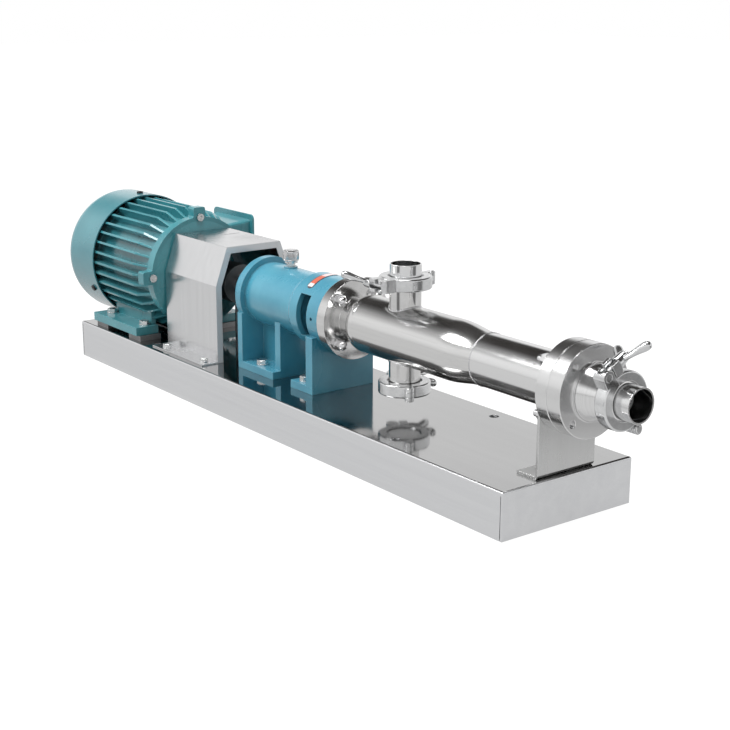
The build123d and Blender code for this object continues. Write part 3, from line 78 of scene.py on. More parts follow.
def node(tree, kind, inputs=(), **settings):
    """Add a shader node. Its inputs take plain values or the outputs of other nodes."""
    made = tree.nodes.new("ShaderNode" + kind)
    for key, value in settings.items():
        setattr(made, key, value)
    for key, value in dict(inputs).items():
        if isinstance(value, bpy.types.NodeSocket):
            tree.links.new(value, made.inputs[key])
        else:
            made.inputs[key].default_value = value
    return made


def maths(tree, operation, *values):
    """Result of one sum on values or outputs."""
    return node(tree, "Math", dict(enumerate(values)), operation=operation).outputs[0]


def spread(tree, value, low, high, start=0.0, end=1.0):
    """Stretch the values from low to high over start to end."""
    return node(tree, "MapRange", {
        "Value": value, "From Min": low, "From Max": high, "To Min": start, "To Max": end,
    }).outputs[0]


def blend(tree, share, first, second):
    """Colour that goes from the first to the second with the share."""
    return node(tree, "Mix", {"Factor": share, 6: first, 7: second}, data_type="RGBA").outputs[2]


def ramp(tree, factor, stops):
    """Colour by a value, from stops of place and colour."""
    made = node(tree, "ValToRGB", {"Fac": factor})
    band = made.color_ramp
    band.elements[0].position, band.elements[0].color = stops[0]
    band.elements[1].position, band.elements[1].color = stops[-1]
    for place, colour in stops[1:-1]:
        band.elements.new(place).color = colour
    return made.outputs["Color"]


def grey(value):
    """Plain grey of this strength."""
    return (value, value, value, 1)


wall_and_ceiling = [
    # share of the way from straight down to straight up, grey
    (0.0, grey(0.5)), (0.46, grey(0.72)), (0.55, grey(0.98)), (0.68, grey(1.05)),
    (0.76, grey(0.5)), (0.81, grey(0.2)), (1.0, grey(0.16)),
]
loose_greys = [(0.0, grey(0.08)), (0.5, grey(0.3)), (0.75, grey(0.72)), (1.0, grey(1.1))]
flag_black = (0.035, 0.032, 0.03, 1)
world = bpy.data.worlds.new("studio")
bpy.context.scene.world = world
world.use_nodes = True
sky = world.node_tree
sky.nodes.clear()
direction = node(sky, "SeparateXYZ", {0: node(sky, "TexCoord").outputs["Generated"]}).outputs
height_share = maths(sky, "MULTIPLY_ADD", direction["Z"], 0.5, 0.5)
wall = ramp(sky, height_share, wall_and_ceiling)
far_side = spread(sky, direction["Y"], -0.22, 0.02)
high_up = spread(sky, direction["Z"], 0.34, 0.46)
reflected = blend(sky, maths(sky, "MULTIPLY", far_side, high_up), wall, flag_black)
ray = node(sky, "LightPath").outputs
dome = blend(sky, ray["Is Glossy Ray"], ramp(sky, height_share, loose_greys), reflected)
seen = maths(sky, "MAXIMUM", ray["Is Camera Ray"], ray["Is Transmission Ray"])
backdrop = node(sky, "Background", {"Color": blend(sky, seen, dome, grey(1.0)), "Strength": 1.0})
sky.links.new(backdrop.outputs[0], node(sky, "OutputWorld").inputs[0])

# Studio paper. One large white sheet under the pump that keeps a soft shadow. Two dark
# fans lie on it, which only reflections see: they put the dark bands on the upright pipes.
mm = 0.001
paper_half = 12
paper_below = -0.4 * mm
paper_white = [(0.3, grey(0.8)), (0.7, grey(0.84))]
paper_to_light = grey(0.42)
paper_glow, glow_share, whitening = 0.8, 0.85, 0.26
fans_from = (0.3, 0.0, 0.0)
fan_shapes = [
    # heading, half width
    (radians(27), radians(14)), (radians(-98), radians(11)),
]
fan_start, fan_full = 0.38, 0.7
fan_soft_from, fan_soft_to = 0.7, 1.3
fan_darkens = 0.7
paper_mesh = bpy.data.meshes.new("paper")
paper_mesh.from_pydata([
    (-paper_half, -paper_half, paper_below), (paper_half, -paper_half, paper_below),
    (paper_half, paper_half, paper_below), (-paper_half, paper_half, paper_below),
], [], [(0, 1, 2, 3)])
paper = bpy.data.objects.new("studio_floor", paper_mesh)
bpy.context.scene.collection.objects.link(paper)
white_paper = bpy.data.materials.new("white_paper")
white_paper.use_nodes = True
sheet = white_paper.node_tree
sheet.nodes.clear()
ray = node(sheet, "LightPath").outputs
fibre = node(sheet, "TexNoise", {"Scale": 60.0, "Detail": 4.0}).outputs["Fac"]
toned = blend(sheet, ray["Is Camera Ray"], paper_to_light, ramp(sheet, fibre, paper_white))
lit = node(sheet, "BsdfDiffuse", {"Color": toned})
spoke = node(sheet, "VectorMath", {
    0: node(sheet, "TexCoord").outputs["Object"], 1: fans_from,
}, operation="SUBTRACT").outputs["Vector"]
away = node(sheet, "SeparateXYZ", {0: spoke}).outputs
heading = maths(sheet, "ARCTAN2", away["Y"], away["X"])
fans = 0.0
for middle, half_width in fan_shapes:
    off_middle = maths(sheet, "ABSOLUTE", maths(sheet, "SUBTRACT", heading, middle))
    fan = spread(
        sheet, off_middle, half_width * fan_soft_from, half_width * fan_soft_to, 1.0, 0.0)
    fans = maths(sheet, "MAXIMUM", fans, fan)
distance = node(sheet, "VectorMath", {0: spoke}, operation="LENGTH").outputs["Value"]
beyond = spread(sheet, distance, fan_start, fan_full)
unseen = maths(sheet, "SUBTRACT", 1.0, ray["Is Camera Ray"])
darkened = maths(sheet, "MULTIPLY", maths(sheet, "MULTIPLY", fans, beyond), unseen)
glow = node(sheet, "Emission", {
    "Color": grey(1.0),
    "Strength": maths(sheet, "MULTIPLY_ADD", darkened, -fan_darkens, paper_glow),
})
direct = maths(sheet, "MAXIMUM", ray["Is Camera Ray"], ray["Is Glossy Ray"])
shown = node(sheet, "MixShader", {
    0: maths(sheet, "MULTIPLY", direct, glow_share), 1: lit.outputs[0], 2: glow.outputs[0],
})
whitener = node(sheet, "Emission", {
    "Color": grey(1.0), "Strength": maths(sheet, "MULTIPLY", ray["Is Camera Ray"], whitening),
})
bright = node(sheet, "AddShader", {0: shown.outputs[0], 1: whitener.outputs[0]})
sheet.links.new(bright.outputs[0], node(sheet, "OutputMaterial").inputs[0])
paper_mesh.materials.append(white_paper)

# Lamps. A square soft box hangs over the near side and a smaller one straight above.
# Both face the middle of the pump.
pump_middle = Vector((0, 0, 0.15))


def soft_box(name, place, size, power):
    """Square lamp that faces the middle of the pump."""
    lamp = bpy.data.lights.new(name, "AREA")
    lamp.size = size
    lamp.energy = power
    box = bpy.data.objects.new(name, lamp)
    bpy.context.scene.collection.objects.link(box)
    box.rotation_mode = "QUATERNION"
    box.rotation_quaternion = (Vector(place) - pump_middle).to_track_quat("Z", "Y")
    box.location = place


soft_box("key_box", place=(-0.9, -1.6, 2.3), size=1.2, power=62)
soft_box("top_box", place=(0.1, -0.1, 2.6), size=0.9, power=26)

# Base pan. One stainless sheet, folded down on four sides with open seams at its
# corners. Its top is polished to a mirror, with its colour painted darker than the sides' to
# stand in for dark reflections, and its sides have a fine satin grain.
pan_fold = 0.3 * mm
pan_satin = ((0.68, 0.685, 0.7), (0.74, 0.745, 0.755))
# painted shade: the polished top takes a darker colour than the satin sides, a painted dark
# reflection
pan_top_painted_dark = ((0.4, 0.4, 0.4), (0.43, 0.43, 0.43))
satin_roughness, mirror_roughness = 0.24, 0.045


def group(name, inputs, outputs):
    """New shader group with its sockets, and the sockets inside its two ends."""
    tree = bpy.data.node_groups.new(name, "ShaderNodeTree")
    for label, kind, value in inputs:
        socket = tree.interface.new_socket(
            label, in_out="INPUT", socket_type="NodeSocket" + kind)
        socket.default_value = value
    for label, kind in outputs:
        tree.interface.new_socket(label, in_out="OUTPUT", socket_type="NodeSocket" + kind)
    start = tree.nodes.new("NodeGroupInput")
    return tree, start.outputs, tree.nodes.new("NodeGroupOutput").inputs


def object_place(tree):
    """Place on the piece, in metres."""
    return node(tree, "TexCoord").outputs["Object"]


# Edges that hands and tools have rounded: a softened normal and a mask of the edges,
# broken up by noise.
edge_group, given, result = group(
    "rounded_edges",
    [("Radius", "Float", 0.0005), ("Breakup", "Float", 120.0)],
    [("Normal", "Vector"), ("Edge", "Float")],
)
softened = node(edge_group, "Bevel", {"Radius": given["Radius"]}, samples=6).outputs[0]
facet = node(edge_group, "NewGeometry").outputs["Normal"]
agreement = node(
    edge_group, "VectorMath", {0: softened, 1: facet}, operation="DOT_PRODUCT",
).outputs["Value"]
chips = node(edge_group, "TexNoise", {
    "Vector": object_place(edge_group), "Scale": given["Breakup"], "Detail": 3.0,
}).outputs["Fac"]
bent = maths(edge_group, "MULTIPLY", maths(edge_group, "SUBTRACT", 1.0, agreement), 6.0)
chipped = maths(edge_group, "MULTIPLY", bent, maths(edge_group, "MULTIPLY", chips, 2.0))
worn = node(edge_group, "Math", {0: chipped, 1: 0.0}, operation="ADD", use_clamp=True)
edge_group.links.new(softened, result["Normal"])
edge_group.links.new(worn.outputs[0], result["Edge"])

# Polishing marks: long fine scratches along one direction, with broader bands where the
# belt has passed, as a height and a shade.
grain_group, given, result = group(
    "polishing_grain",
    [("Stretch", "Vector", (40.0, 900.0, 900.0)), ("Fineness", "Float", 1.0)],
    [("Height", "Float"), ("Shade", "Float")],
)
stretched = node(grain_group, "VectorMath", {
    0: object_place(grain_group), 1: given["Stretch"],
}, operation="MULTIPLY").outputs["Vector"]
hairs = node(grain_group, "TexNoise", {
    "Vector": stretched, "Scale": given["Fineness"], "Detail": 5.0, "Roughness": 0.65,
}).outputs["Fac"]
passes = node(grain_group, "TexNoise", {
    "Vector": stretched, "Scale": maths(grain_group, "MULTIPLY", given["Fineness"], 0.14),
    "Detail": 2.0,
}).outputs["Fac"]
hair_share = maths(grain_group, "MULTIPLY", hairs, 0.45)
grain_group.links.new(hairs, result["Height"])
grain_group.links.new(
    maths(grain_group, "MULTIPLY_ADD", passes, 0.55, hair_share), result["Shade"])

# Handling: cloudy finger marks, and a little dust that settles in specks on the faces
# that look up.
handling_group, given, result = group(
    "handling",
    [("Scale", "Float", 9.0), ("Dust", "Float", 0.3)],
    [("Smudge", "Float"), ("Dust", "Float")],
)
place = object_place(handling_group)
cloud = node(handling_group, "TexNoise", {
    "Vector": place, "Scale": given["Scale"], "Detail": 6.0, "Distortion": 0.6,
}).outputs["Fac"]
specks = node(handling_group, "TexNoise", {
    "Vector": place, "Scale": 420.0, "Detail": 2.0,
}).outputs["Fac"]
facet = node(handling_group, "NewGeometry").outputs["Normal"]
facing_up = node(handling_group, "SeparateXYZ", {0: facet}).outputs["Z"]
settled = maths(handling_group, "MULTIPLY", spread(handling_group, facing_up, 0.5, 1.0), specks)
handling_group.links.new(spread(handling_group, cloud, 0.42, 0.68), result["Smudge"])
handling_group.links.new(
    maths(handling_group, "MULTIPLY", settled, given["Dust"]), result["Dust"])


def use(tree, shared, **inputs):
    """Place a shared group in a material with its own values."""
    made = tree.nodes.new("ShaderNodeGroup")
    made.node_tree = shared
    for key, value in inputs.items():
        made.inputs[key].default_value = value
    return made.outputs


def surface(name, metallic, roughness, **more):
    """New material with its Principled shader; further sockets are set by name."""
    material = bpy.data.materials.new(name)
    material.use_nodes = True
    tree = material.node_tree
    shader = tree.nodes["Principled BSDF"]
    shader.inputs["Metallic"].default_value = metallic
    shader.inputs["Roughness"].default_value = roughness
    for key, value in more.items():
        shader.inputs[key.replace("_", " ")].default_value = value
    return material, tree, shader


def relief(tree, shader, height, depth, normal):
    """Bump the surface by a height, on top of a softened normal."""
    bump = node(tree, "Bump", {
        "Strength": 1.0, "Distance": depth, "Height": height, "Normal": normal,
    })
    tree.links.new(bump.outputs[0], shader.inputs["Normal"])


def tint(tree, factor, dark, light, low=0.3, high=0.7):
    """Colour from dark to light with the factor."""
    return ramp(tree, factor, [(low, (*dark, 1)), (high, (*light, 1))])


def dress(material, *names):
    """Give CAD pieces their finish."""
    for name in names:
        for holder in frame["nodes"][name].material_slots:
            holder.material = material


base_sheet, tree, shader = surface("base_sheet", 1.0, 0.2, Anisotropic=0.2)
edges = use(tree, edge_group, Radius=pan_fold)
grain = use(tree, grain_group, Stretch=(6.0, 420.0, 420.0))
hands = use(tree, handling_group, Scale=6.0)
facet = node(tree, "NewGeometry").outputs["Normal"]
on_top = spread(tree, node(tree, "SeparateXYZ", {0: facet}).outputs["Z"], 0.75, 0.97)
satin_side = tint(tree, grain["Shade"], *pan_satin)
# painted dark reflection: upward faces get the darker colour of the same sheet
mirror_top_painted_dark = tint(tree, grain["Shade"], *pan_top_painted_dark)
faces = blend(tree, on_top, satin_side, mirror_top_painted_dark)
rubbed = maths(tree, "MULTIPLY", edges["Edge"], 0.08)
tree.links.new(blend(tree, rubbed, faces, grey(0.9)), shader.inputs["Base Color"])
satin_to_mirror = spread(tree, on_top, 0.0, 1.0, satin_roughness, mirror_roughness)
dusty = maths(tree, "MULTIPLY_ADD", hands["Dust"], 0.12, satin_to_mirror)
smudged = maths(tree, "MULTIPLY", hands["Smudge"], 0.03)
tree.links.new(maths(tree, "ADD", smudged, dusty), shader.inputs["Roughness"])
relief(tree, shader, grain["Height"], 0.0008 * mm, edges["Normal"])
dress(base_sheet, "base_frame")

# Braces and shims. Plain mill-finish plate, dull and a little scaly. The braces are
# welded inside the pan, and the shims are bolted down under the motor's feet.


def bare_metal(name, dark, light, roughness, stretch, depth,
               smudge=0.06, edge=0.4 * mm, **more):
    """Metal with polishing marks, finger marks and bright rounded edges."""
    material, tree, shader = surface(name, 1.0, roughness, **more)
    edges = use(tree, edge_group, Radius=edge)
    grain = use(tree, grain_group, Stretch=stretch)
    hands = use(tree, handling_group)
    body = tint(tree, grain["Shade"], dark, light)
    rubbed = maths(tree, "MULTIPLY", edges["Edge"], 0.7)
    tree.links.new(blend(tree, rubbed, body, grey(0.93)), shader.inputs["Base Color"])
    scratched = maths(tree, "MULTIPLY_ADD", grain["Shade"], 0.6 * roughness, 0.7 * roughness)
    smudged = maths(tree, "MULTIPLY_ADD", hands["Smudge"], smudge, scratched)
    dusty = maths(tree, "MULTIPLY", hands["Dust"], 0.3)
    tree.links.new(maths(tree, "ADD", smudged, dusty), shader.inputs["Roughness"])
    relief(tree, shader, grain["Height"], depth, edges["Normal"])
    return material


mill_plate = bare_metal(
    "mill_plate", dark=(0.2, 0.2, 0.205), light=(0.3, 0.3, 0.3), roughness=0.42,
    stretch=(260.0, 260.0, 260.0), depth=0.02 * mm, smudge=0.12,
)
dress(mill_plate, "base_braces", "motor_shims")

# Motor castings. Aluminium frame, end shields and terminal box under glossy teal enamel,
# with the cast skin showing through and the paint thin on the edges.
skin_group, given, result = group(
    "cast_skin",
    [("Scale", "Float", 260.0), ("Waves", "Float", 22.0)],
    [("Height", "Float"), ("Shade", "Float")],
)
place = object_place(skin_group)
pores = node(skin_group, "TexNoise", {
    "Vector": place, "Scale": given["Scale"], "Detail": 4.0, "Roughness": 0.6,
}).outputs["Fac"]
waves = node(skin_group, "TexNoise", {
    "Vector": place, "Scale": given["Waves"], "Detail": 3.0,
}).outputs["Fac"]
skin_group.links.new(maths(skin_group, "MULTIPLY_ADD", waves, 1.6, pores), result["Height"])
skin_group.links.new(waves, result["Shade"])


def enamel(name, dark, light, thin, roughness, depth, scale=260.0, edge=0.8 * mm, coat=0.5):
    """Glossy paint; thin is its colour where it has drawn off the edges."""
    material, tree, shader = surface(
        name, 0.0, roughness, Coat_Weight=coat, Coat_Roughness=0.09, Coat_IOR=1.5)
    edges = use(tree, edge_group, Radius=edge, Breakup=70.0)
    skin = use(tree, skin_group, Scale=scale)
    hands = use(tree, handling_group, Dust=0.25)
    body = tint(tree, skin["Shade"], dark, light, 0.35, 0.65)
    thinned = blend(tree, maths(tree, "MULTIPLY", edges["Edge"], 0.5), body, (*thin, 1))
    dust_share = maths(tree, "MULTIPLY", hands["Dust"], 0.35)
    dusted = blend(tree, dust_share, thinned, (0.5, 0.5, 0.48, 1))
    tree.links.new(dusted, shader.inputs["Base Color"])
    dusty = maths(tree, "MULTIPLY_ADD", hands["Dust"], 0.4, roughness)
    smudged = maths(tree, "MULTIPLY_ADD", hands["Smudge"], 0.1, dusty)
    tree.links.new(smudged, shader.inputs["Roughness"])
    relief(tree, shader, skin["Height"], depth, edges["Normal"])
    return material


teal_casting = enamel(
    "teal_casting", dark=(0.03, 0.19, 0.225), light=(0.045, 0.24, 0.275),
    thin=(0.14, 0.42, 0.46), roughness=0.24, depth=0.05 * mm,
)
dress(
    teal_casting, "motor_frame", "front_end_shield", "rear_end_shield", "terminal_box",
    "terminal_box_lid",
)

# Fan cover. Deep-drawn sheet steel in the same enamel, smoother than the castings, and
# held by round-headed blackened screws.
teal_sheet = enamel(
    "teal_sheet", dark=(0.032, 0.175, 0.21), light=(0.042, 0.2, 0.235),
    thin=(0.16, 0.42, 0.45), roughness=0.24, depth=0.02 * mm, scale=900.0, coat=0.7,
)
dress(teal_sheet, "fan_cover")
black_oxide = bare_metal(
    "black_oxide", dark=(0.02, 0.02, 0.022), light=(0.05, 0.05, 0.052), roughness=0.38,
    stretch=(600.0, 600.0, 600.0), depth=0.003 * mm, edge=0.3 * mm,
)
dress(black_oxide, "fan_cover_screws")

# Zinc plated fasteners. Forged and rolled steel bolts and washers that hold the motor,
# its shields, the guard, the housing and the bracket.
zinc_plate = bare_metal(
    "zinc_plate", dark=(0.56, 0.57, 0.58), light=(0.74, 0.75, 0.74), roughness=0.24,
    stretch=(500.0, 500.0, 500.0), depth=0.004 * mm, edge=0.35 * mm,
)
dress(
    zinc_plate, "motor_foot_bolts", "end_shield_screws", "guard_bolts", "housing_bolts",
    "bracket_bolts",
)

# Terminal box screws. Four zinc plated socket heads sit in the recesses at the lid's
# corners and hold it on the box.
lid_inset = 7 * mm
lid_recess = 1.5 * mm
lid_screw_radius = 3.5 * mm
screw_sides = 36
screw_profile = [
    # share of the radius, share of the height, part of the hexagonal socket
    (1.0, 0.0, False), (1.0, 0.75, False), (0.94, 0.93, False), (0.82, 1.0, False),
    (0.55, 1.0, True), (0.5, 0.92, True), (0.5, 0.4, True),
]


def settle(piece, body, material):
    """Give a new piece its finish, and let it ride on a body."""
    piece.data.materials.append(material)
    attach(piece, body)
    return piece


def lofted(name, rings, closed=False):
    """Skin over rings of as many points each, flat at both ends unless it closes on itself."""
    sides = len(rings[0])
    faces = []
    for row in range(len(rings) - (0 if closed else 1)):
        here, after = row * sides, (row + 1) % len(rings) * sides
        for side in range(sides):
            beside = (side + 1) % sides
            faces.append((here + side, here + beside, after + beside, after + side))
    if not closed:
        faces.append(tuple(reversed(range(sides))))
        faces.append(tuple(range((len(rings) - 1) * sides, len(rings) * sides)))
    mesh = bpy.data.meshes.new(name)
    mesh.from_pydata([tuple(point) for ring in rings for point in ring], [], faces)
    mesh.shade_smooth()
    mesh.set_sharp_from_angle(angle=radians(35))
    piece = bpy.data.objects.new(name, mesh)
    bpy.context.scene.collection.objects.link(piece)
    return piece


def socket_screw(name, seat, facing, radius, height, material):
    """Round head with a hexagonal socket, standing on its seat."""
    away = Vector(facing).normalized()
    aside = away.orthogonal().normalized()
    beside = away.cross(aside)
    rings = []
    for share, height_part, hexagonal in screw_profile:
        ring = []
        for step in range(screw_sides):
            around = 2 * pi * step / screw_sides
            flat = cos(pi / 6) / cos((around % (pi / 3)) - pi / 6) if hexagonal else 1
            outward = cos(around) * aside + sin(around) * beside
            ring.append(seat + height_part * height * away + share * radius * flat * outward)
        rings.append(ring)
    settle(lofted(name, rings), "pump_frame", material)


lid_low, lid_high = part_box("terminal_box_lid")
lid_left, lid_right = lid_low.x + lid_inset, lid_high.x - lid_inset
lid_bottom, lid_top = lid_low.z + lid_inset, lid_high.z - lid_inset
for count, (x, z) in enumerate((
    (lid_left, lid_bottom), (lid_right, lid_bottom), (lid_right, lid_top), (lid_left, lid_top),
)):
    seat = Vector((x, lid_high.y - lid_recess, z))
    socket_screw(
        f"lid_screw_{count}", seat, (0, 1, 0), lid_screw_radius, lid_recess, zinc_plate)

# Running parts. Turned shafts and sleeves, ground bearings, laminated cores, grey iron
# coupling hubs, and a hard chromed rotor, all pressed or keyed on one shaft line.
axis_height = 0.151
shaft_centre = (0.0, 0.0, axis_height)
round_shaft = (0.0, 1.0, 1.0)

# Lathe rings: fine circles round an axis, as a height, and how far out they lie. Across
# names the directions in which that distance is measured.
lathe_group, given, result = group(
    "lathe_rings",
    [("Centre", "Vector", shaft_centre), ("Across", "Vector", round_shaft),
     ("Rings per metre", "Float", 2600.0)],
    [("Height", "Float"), ("Radius", "Float")],
)
offset = node(lathe_group, "VectorMath", {
    0: object_place(lathe_group), 1: given["Centre"],
}, operation="SUBTRACT").outputs["Vector"]
flattened = node(lathe_group, "VectorMath", {
    0: offset, 1: given["Across"],
}, operation="MULTIPLY").outputs["Vector"]
radius = node(lathe_group, "VectorMath", {0: flattened}, operation="LENGTH").outputs["Value"]
ring_count = maths(lathe_group, "MULTIPLY", radius, given["Rings per metre"])
wobble = node(lathe_group, "TexNoise", {
    "Vector": node(lathe_group, "CombineXYZ", {0: ring_count}).outputs[0],
    "Scale": 1.0, "Detail": 4.0,
}).outputs["Fac"]
lathe_group.links.new(wobble, result["Height"])
lathe_group.links.new(radius, result["Radius"])


def turned_metal(name, dark, light, roughness, centre=shaft_centre, across=round_shaft,
                 depth=0.004 * mm, edge=0.4 * mm, dull_from=1.0, **more):
    """Metal off the lathe: rings round its axis, finger marks and bright edges. It is
    duller where its radius is larger than dull_from."""
    material, tree, shader = surface(name, 1.0, roughness, **more)
    edges = use(tree, edge_group, Radius=edge)
    rings = use(tree, lathe_group, Centre=centre, Across=across)
    hands = use(tree, handling_group, Scale=14.0)
    body = tint(tree, rings["Height"], dark, light)
    rubbed = maths(tree, "MULTIPLY", edges["Edge"], 0.7)
    tree.links.new(blend(tree, rubbed, body, grey(0.94)), shader.inputs["Base Color"])
    dull = spread(tree, rings["Radius"], dull_from, dull_from + 2 * mm, 0.0, 0.06)
    polish = maths(tree, "MULTIPLY_ADD", rings["Height"], roughness, 0.5 * roughness)
    cut = maths(tree, "ADD", polish, dull)
    smudged = maths(tree, "MULTIPLY_ADD", hands["Smudge"], 0.07, cut)
    tree.links.new(smudged, shader.inputs["Roughness"])
    relief(tree, shader, rings["Height"], depth, edges["Normal"])
    return material


turned_steel = turned_metal(
    "turned_steel", dark=(0.5, 0.5, 0.51), light=(0.66, 0.66, 0.67), roughness=0.22)
dress(
    turned_steel, "motor_shaft", "pump_shaft", "motor_bearings", "shaft_bearings",
    "shaft_keys", "coupling_rod", "rod_pins", "rotor_joint_sleeve", "seal_spring",
)
hard_chrome = turned_metal(
    "hard_chrome", dark=(0.72, 0.73, 0.74), light=(0.8, 0.81, 0.82), roughness=0.08)
dress(hard_chrome, "rotor")
hub_iron = bare_metal(
    "hub_iron", dark=(0.16, 0.16, 0.165), light=(0.27, 0.27, 0.27), roughness=0.45,
    stretch=(300.0, 300.0, 300.0), depth=0.03 * mm, smudge=0.1,
)
dress(hub_iron, "motor_coupling_hub", "pump_coupling_hub")
core_steel = bare_metal(
    "core_steel", dark=(0.15, 0.14, 0.14), light=(0.3, 0.29, 0.28), roughness=0.5,
    stretch=(1600.0, 30.0, 30.0), depth=0.03 * mm, smudge=0.1,
)
dress(core_steel, "motor_stator_core", "motor_rotor_core")

# Moulded parts. Fan and gland in black nylon, spider in red polyurethane, stator in
# black nitrile, clamp seals in white silicone, and the seal's pressed carbon rings.


def moulded(name, dark, light, roughness, depth, scale, **more):
    """Moulded rubber or plastic: a fine even skin with soft edges."""
    material, tree, shader = surface(name, 0.0, roughness, **more)
    edges = use(tree, edge_group, Radius=0.5 * mm)
    skin = use(tree, skin_group, Scale=scale)
    hands = use(tree, handling_group, Dust=0.4)
    body = tint(tree, skin["Shade"], dark, light)
    dust_share = maths(tree, "MULTIPLY", hands["Dust"], 0.4)
    dusted = blend(tree, dust_share, body, (0.45, 0.45, 0.44, 1))
    tree.links.new(dusted, shader.inputs["Base Color"])
    smudged = maths(tree, "MULTIPLY_ADD", hands["Smudge"], 0.12, roughness)
    tree.links.new(smudged, shader.inputs["Roughness"])
    relief(tree, shader, skin["Height"], depth, edges["Normal"])
    return material


black_nylon = moulded(
    "black_nylon", dark=(0.012, 0.012, 0.013), light=(0.03, 0.03, 0.032), roughness=0.42,
    depth=0.02 * mm, scale=500.0,
)
dress(black_nylon, "cooling_fan", "cable_gland")
red_spider = moulded(
    "red_spider", dark=(0.4, 0.03, 0.025), light=(0.52, 0.05, 0.04), roughness=0.36,
    depth=0.02 * mm, scale=300.0,
)
dress(red_spider, "coupling_spider")
nitrile = moulded(
    "nitrile", dark=(0.014, 0.014, 0.014), light=(0.028, 0.028, 0.028), roughness=0.55,
    depth=0.03 * mm, scale=420.0,
)
dress(nitrile, "stator_rubber")
silicone = moulded(
    "silicone", dark=(0.72, 0.72, 0.7), light=(0.82, 0.82, 0.8), roughness=0.4,
    depth=0.01 * mm, scale=380.0, Subsurface_Weight=0.1,
)
dress(silicone, "clamp_gaskets")
carbon = moulded(
    "carbon", dark=(0.025, 0.025, 0.028), light=(0.045, 0.045, 0.05), roughness=0.28,
    depth=0.004 * mm, scale=900.0,
)
dress(carbon, "seal_seat", "seal_ring")

# Coupling guard. Thin stainless sheet with a fine satin grain that runs upward, cut and
# folded on a press. Its faces that look along the shaft are made mostly non-metallic, a
# painted silver sheen in place of the parts that they would reflect.
satin_sheet = bare_metal(
    "satin_sheet", dark=(0.65, 0.652, 0.66), light=(0.7, 0.702, 0.71), roughness=0.19,
    stretch=(900.0, 900.0, 26.0), depth=0.001 * mm, smudge=0.05, edge=0.7 * mm,
    Anisotropic=0.35,
)
tree = satin_sheet.node_tree
facing = node(tree, "SeparateXYZ", {0: node(tree, "TexCoord").outputs["Normal"]}).outputs["X"]
# painted sheen: faces that look along the shaft lose most of their metal, so they show lamp-lit
# grey instead of a reflection
painted_sheen_on_ends = spread(tree, maths(tree, "ABSOLUTE", facing), 0.8, 0.95, 1.0, 0.25)
tree.links.new(painted_sheen_on_ends, tree.nodes["Principled BSDF"].inputs["Metallic"])
dress(satin_sheet, "coupling_guard")

# Bearing housing and its cover. Grey iron under light blue enamel, with a coarser skin
# than the motor's.
blue_casting = enamel(
    "blue_casting", dark=(0.045, 0.235, 0.335), light=(0.068, 0.29, 0.39),
    thin=(0.2, 0.5, 0.6), roughness=0.22, depth=0.06 * mm, scale=210.0, edge=1.2 * mm,
)
dress(blue_casting, "bearing_housing", "bearing_cover")

# Bearing cover screws. Three blackened socket heads sit in the cover's recesses, facing
# the coupling.
cover_screw_circle = 27 * mm
cover_screw_radius = 3.6 * mm
cover_screw_height = 2.6 * mm
cover_screw_angles = (30, 150, 270)
cover_low, cover_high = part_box("bearing_cover")
for count, angle in enumerate(cover_screw_angles):
    seat = Vector((
        (cover_low.x + cover_high.x) / 2,
        cover_screw_circle * cos(radians(angle)),
        axis_height + cover_screw_circle * sin(radians(angle)),
    ))
    socket_screw(
        f"cover_screw_{count}", seat, (-1, 0, 0), cover_screw_radius, cover_screw_height,
        black_oxide,
    )

# Oil cup. Its zinc plated body screws into the housing, and a turned steel cap screws on
# it. The cap's grip is knurled into the rim between two plain bands.
flutes = 44
flute_depth = 0.07
steps_per_flute = 4
cap_profile = [
    # share of the radius, share of the height, share of the flutes' depth
    (0.57, 0.0, 0), (0.93, 0.0, 0), (0.97, 0.04, 0), (0.97, 0.12, 0), (0.98, 0.15, 1),
    (1.0, 0.2, 1), (1.0, 0.74, 1), (0.98, 0.79, 1), (0.965, 0.82, 0), (0.965, 0.9, 0),
    (0.93, 0.96, 0), (0.85, 0.99, 0), (0.5, 1.0, 0), (0.2, 1.0, 0),
]
dress(zinc_plate, "oil_cup")
knurled_steel = turned_metal(
    "knurled_steel", dark=(0.55, 0.55, 0.56), light=(0.72, 0.72, 0.72), roughness=0.2,
    centre=(0.0, 0.0, 0.0), across=(0.0, 0.0, 1.0), edge=0.12 * mm,
)
cap_low, cap_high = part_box("oil_cup_cap")
cap_x = (cap_low.x + cap_high.x) / 2
cap_radius = (cap_high.x - cap_low.x) / 2
cap_height = cap_high.z - cap_low.z
cap_rings = []
for radius_part, height_part, flute_part in cap_profile:
    ring = []
    for step in range(flutes * steps_per_flute):
        around = 2 * pi * step / (flutes * steps_per_flute)
        flute = flute_part * flute_depth * (0.5 + 0.5 * cos(flutes * around))
        reach = radius_part * (1 - flute) * cap_radius
        ring.append((
            cap_x + reach * cos(around), reach * sin(around), cap_low.z + height_part * cap_height,
        ))
    cap_rings.append(ring)
knurled_cap = settle(lofted("knurled_cap", cap_rings), "oil_cup_cap", knurled_steel)
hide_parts("oil_cup_cap")

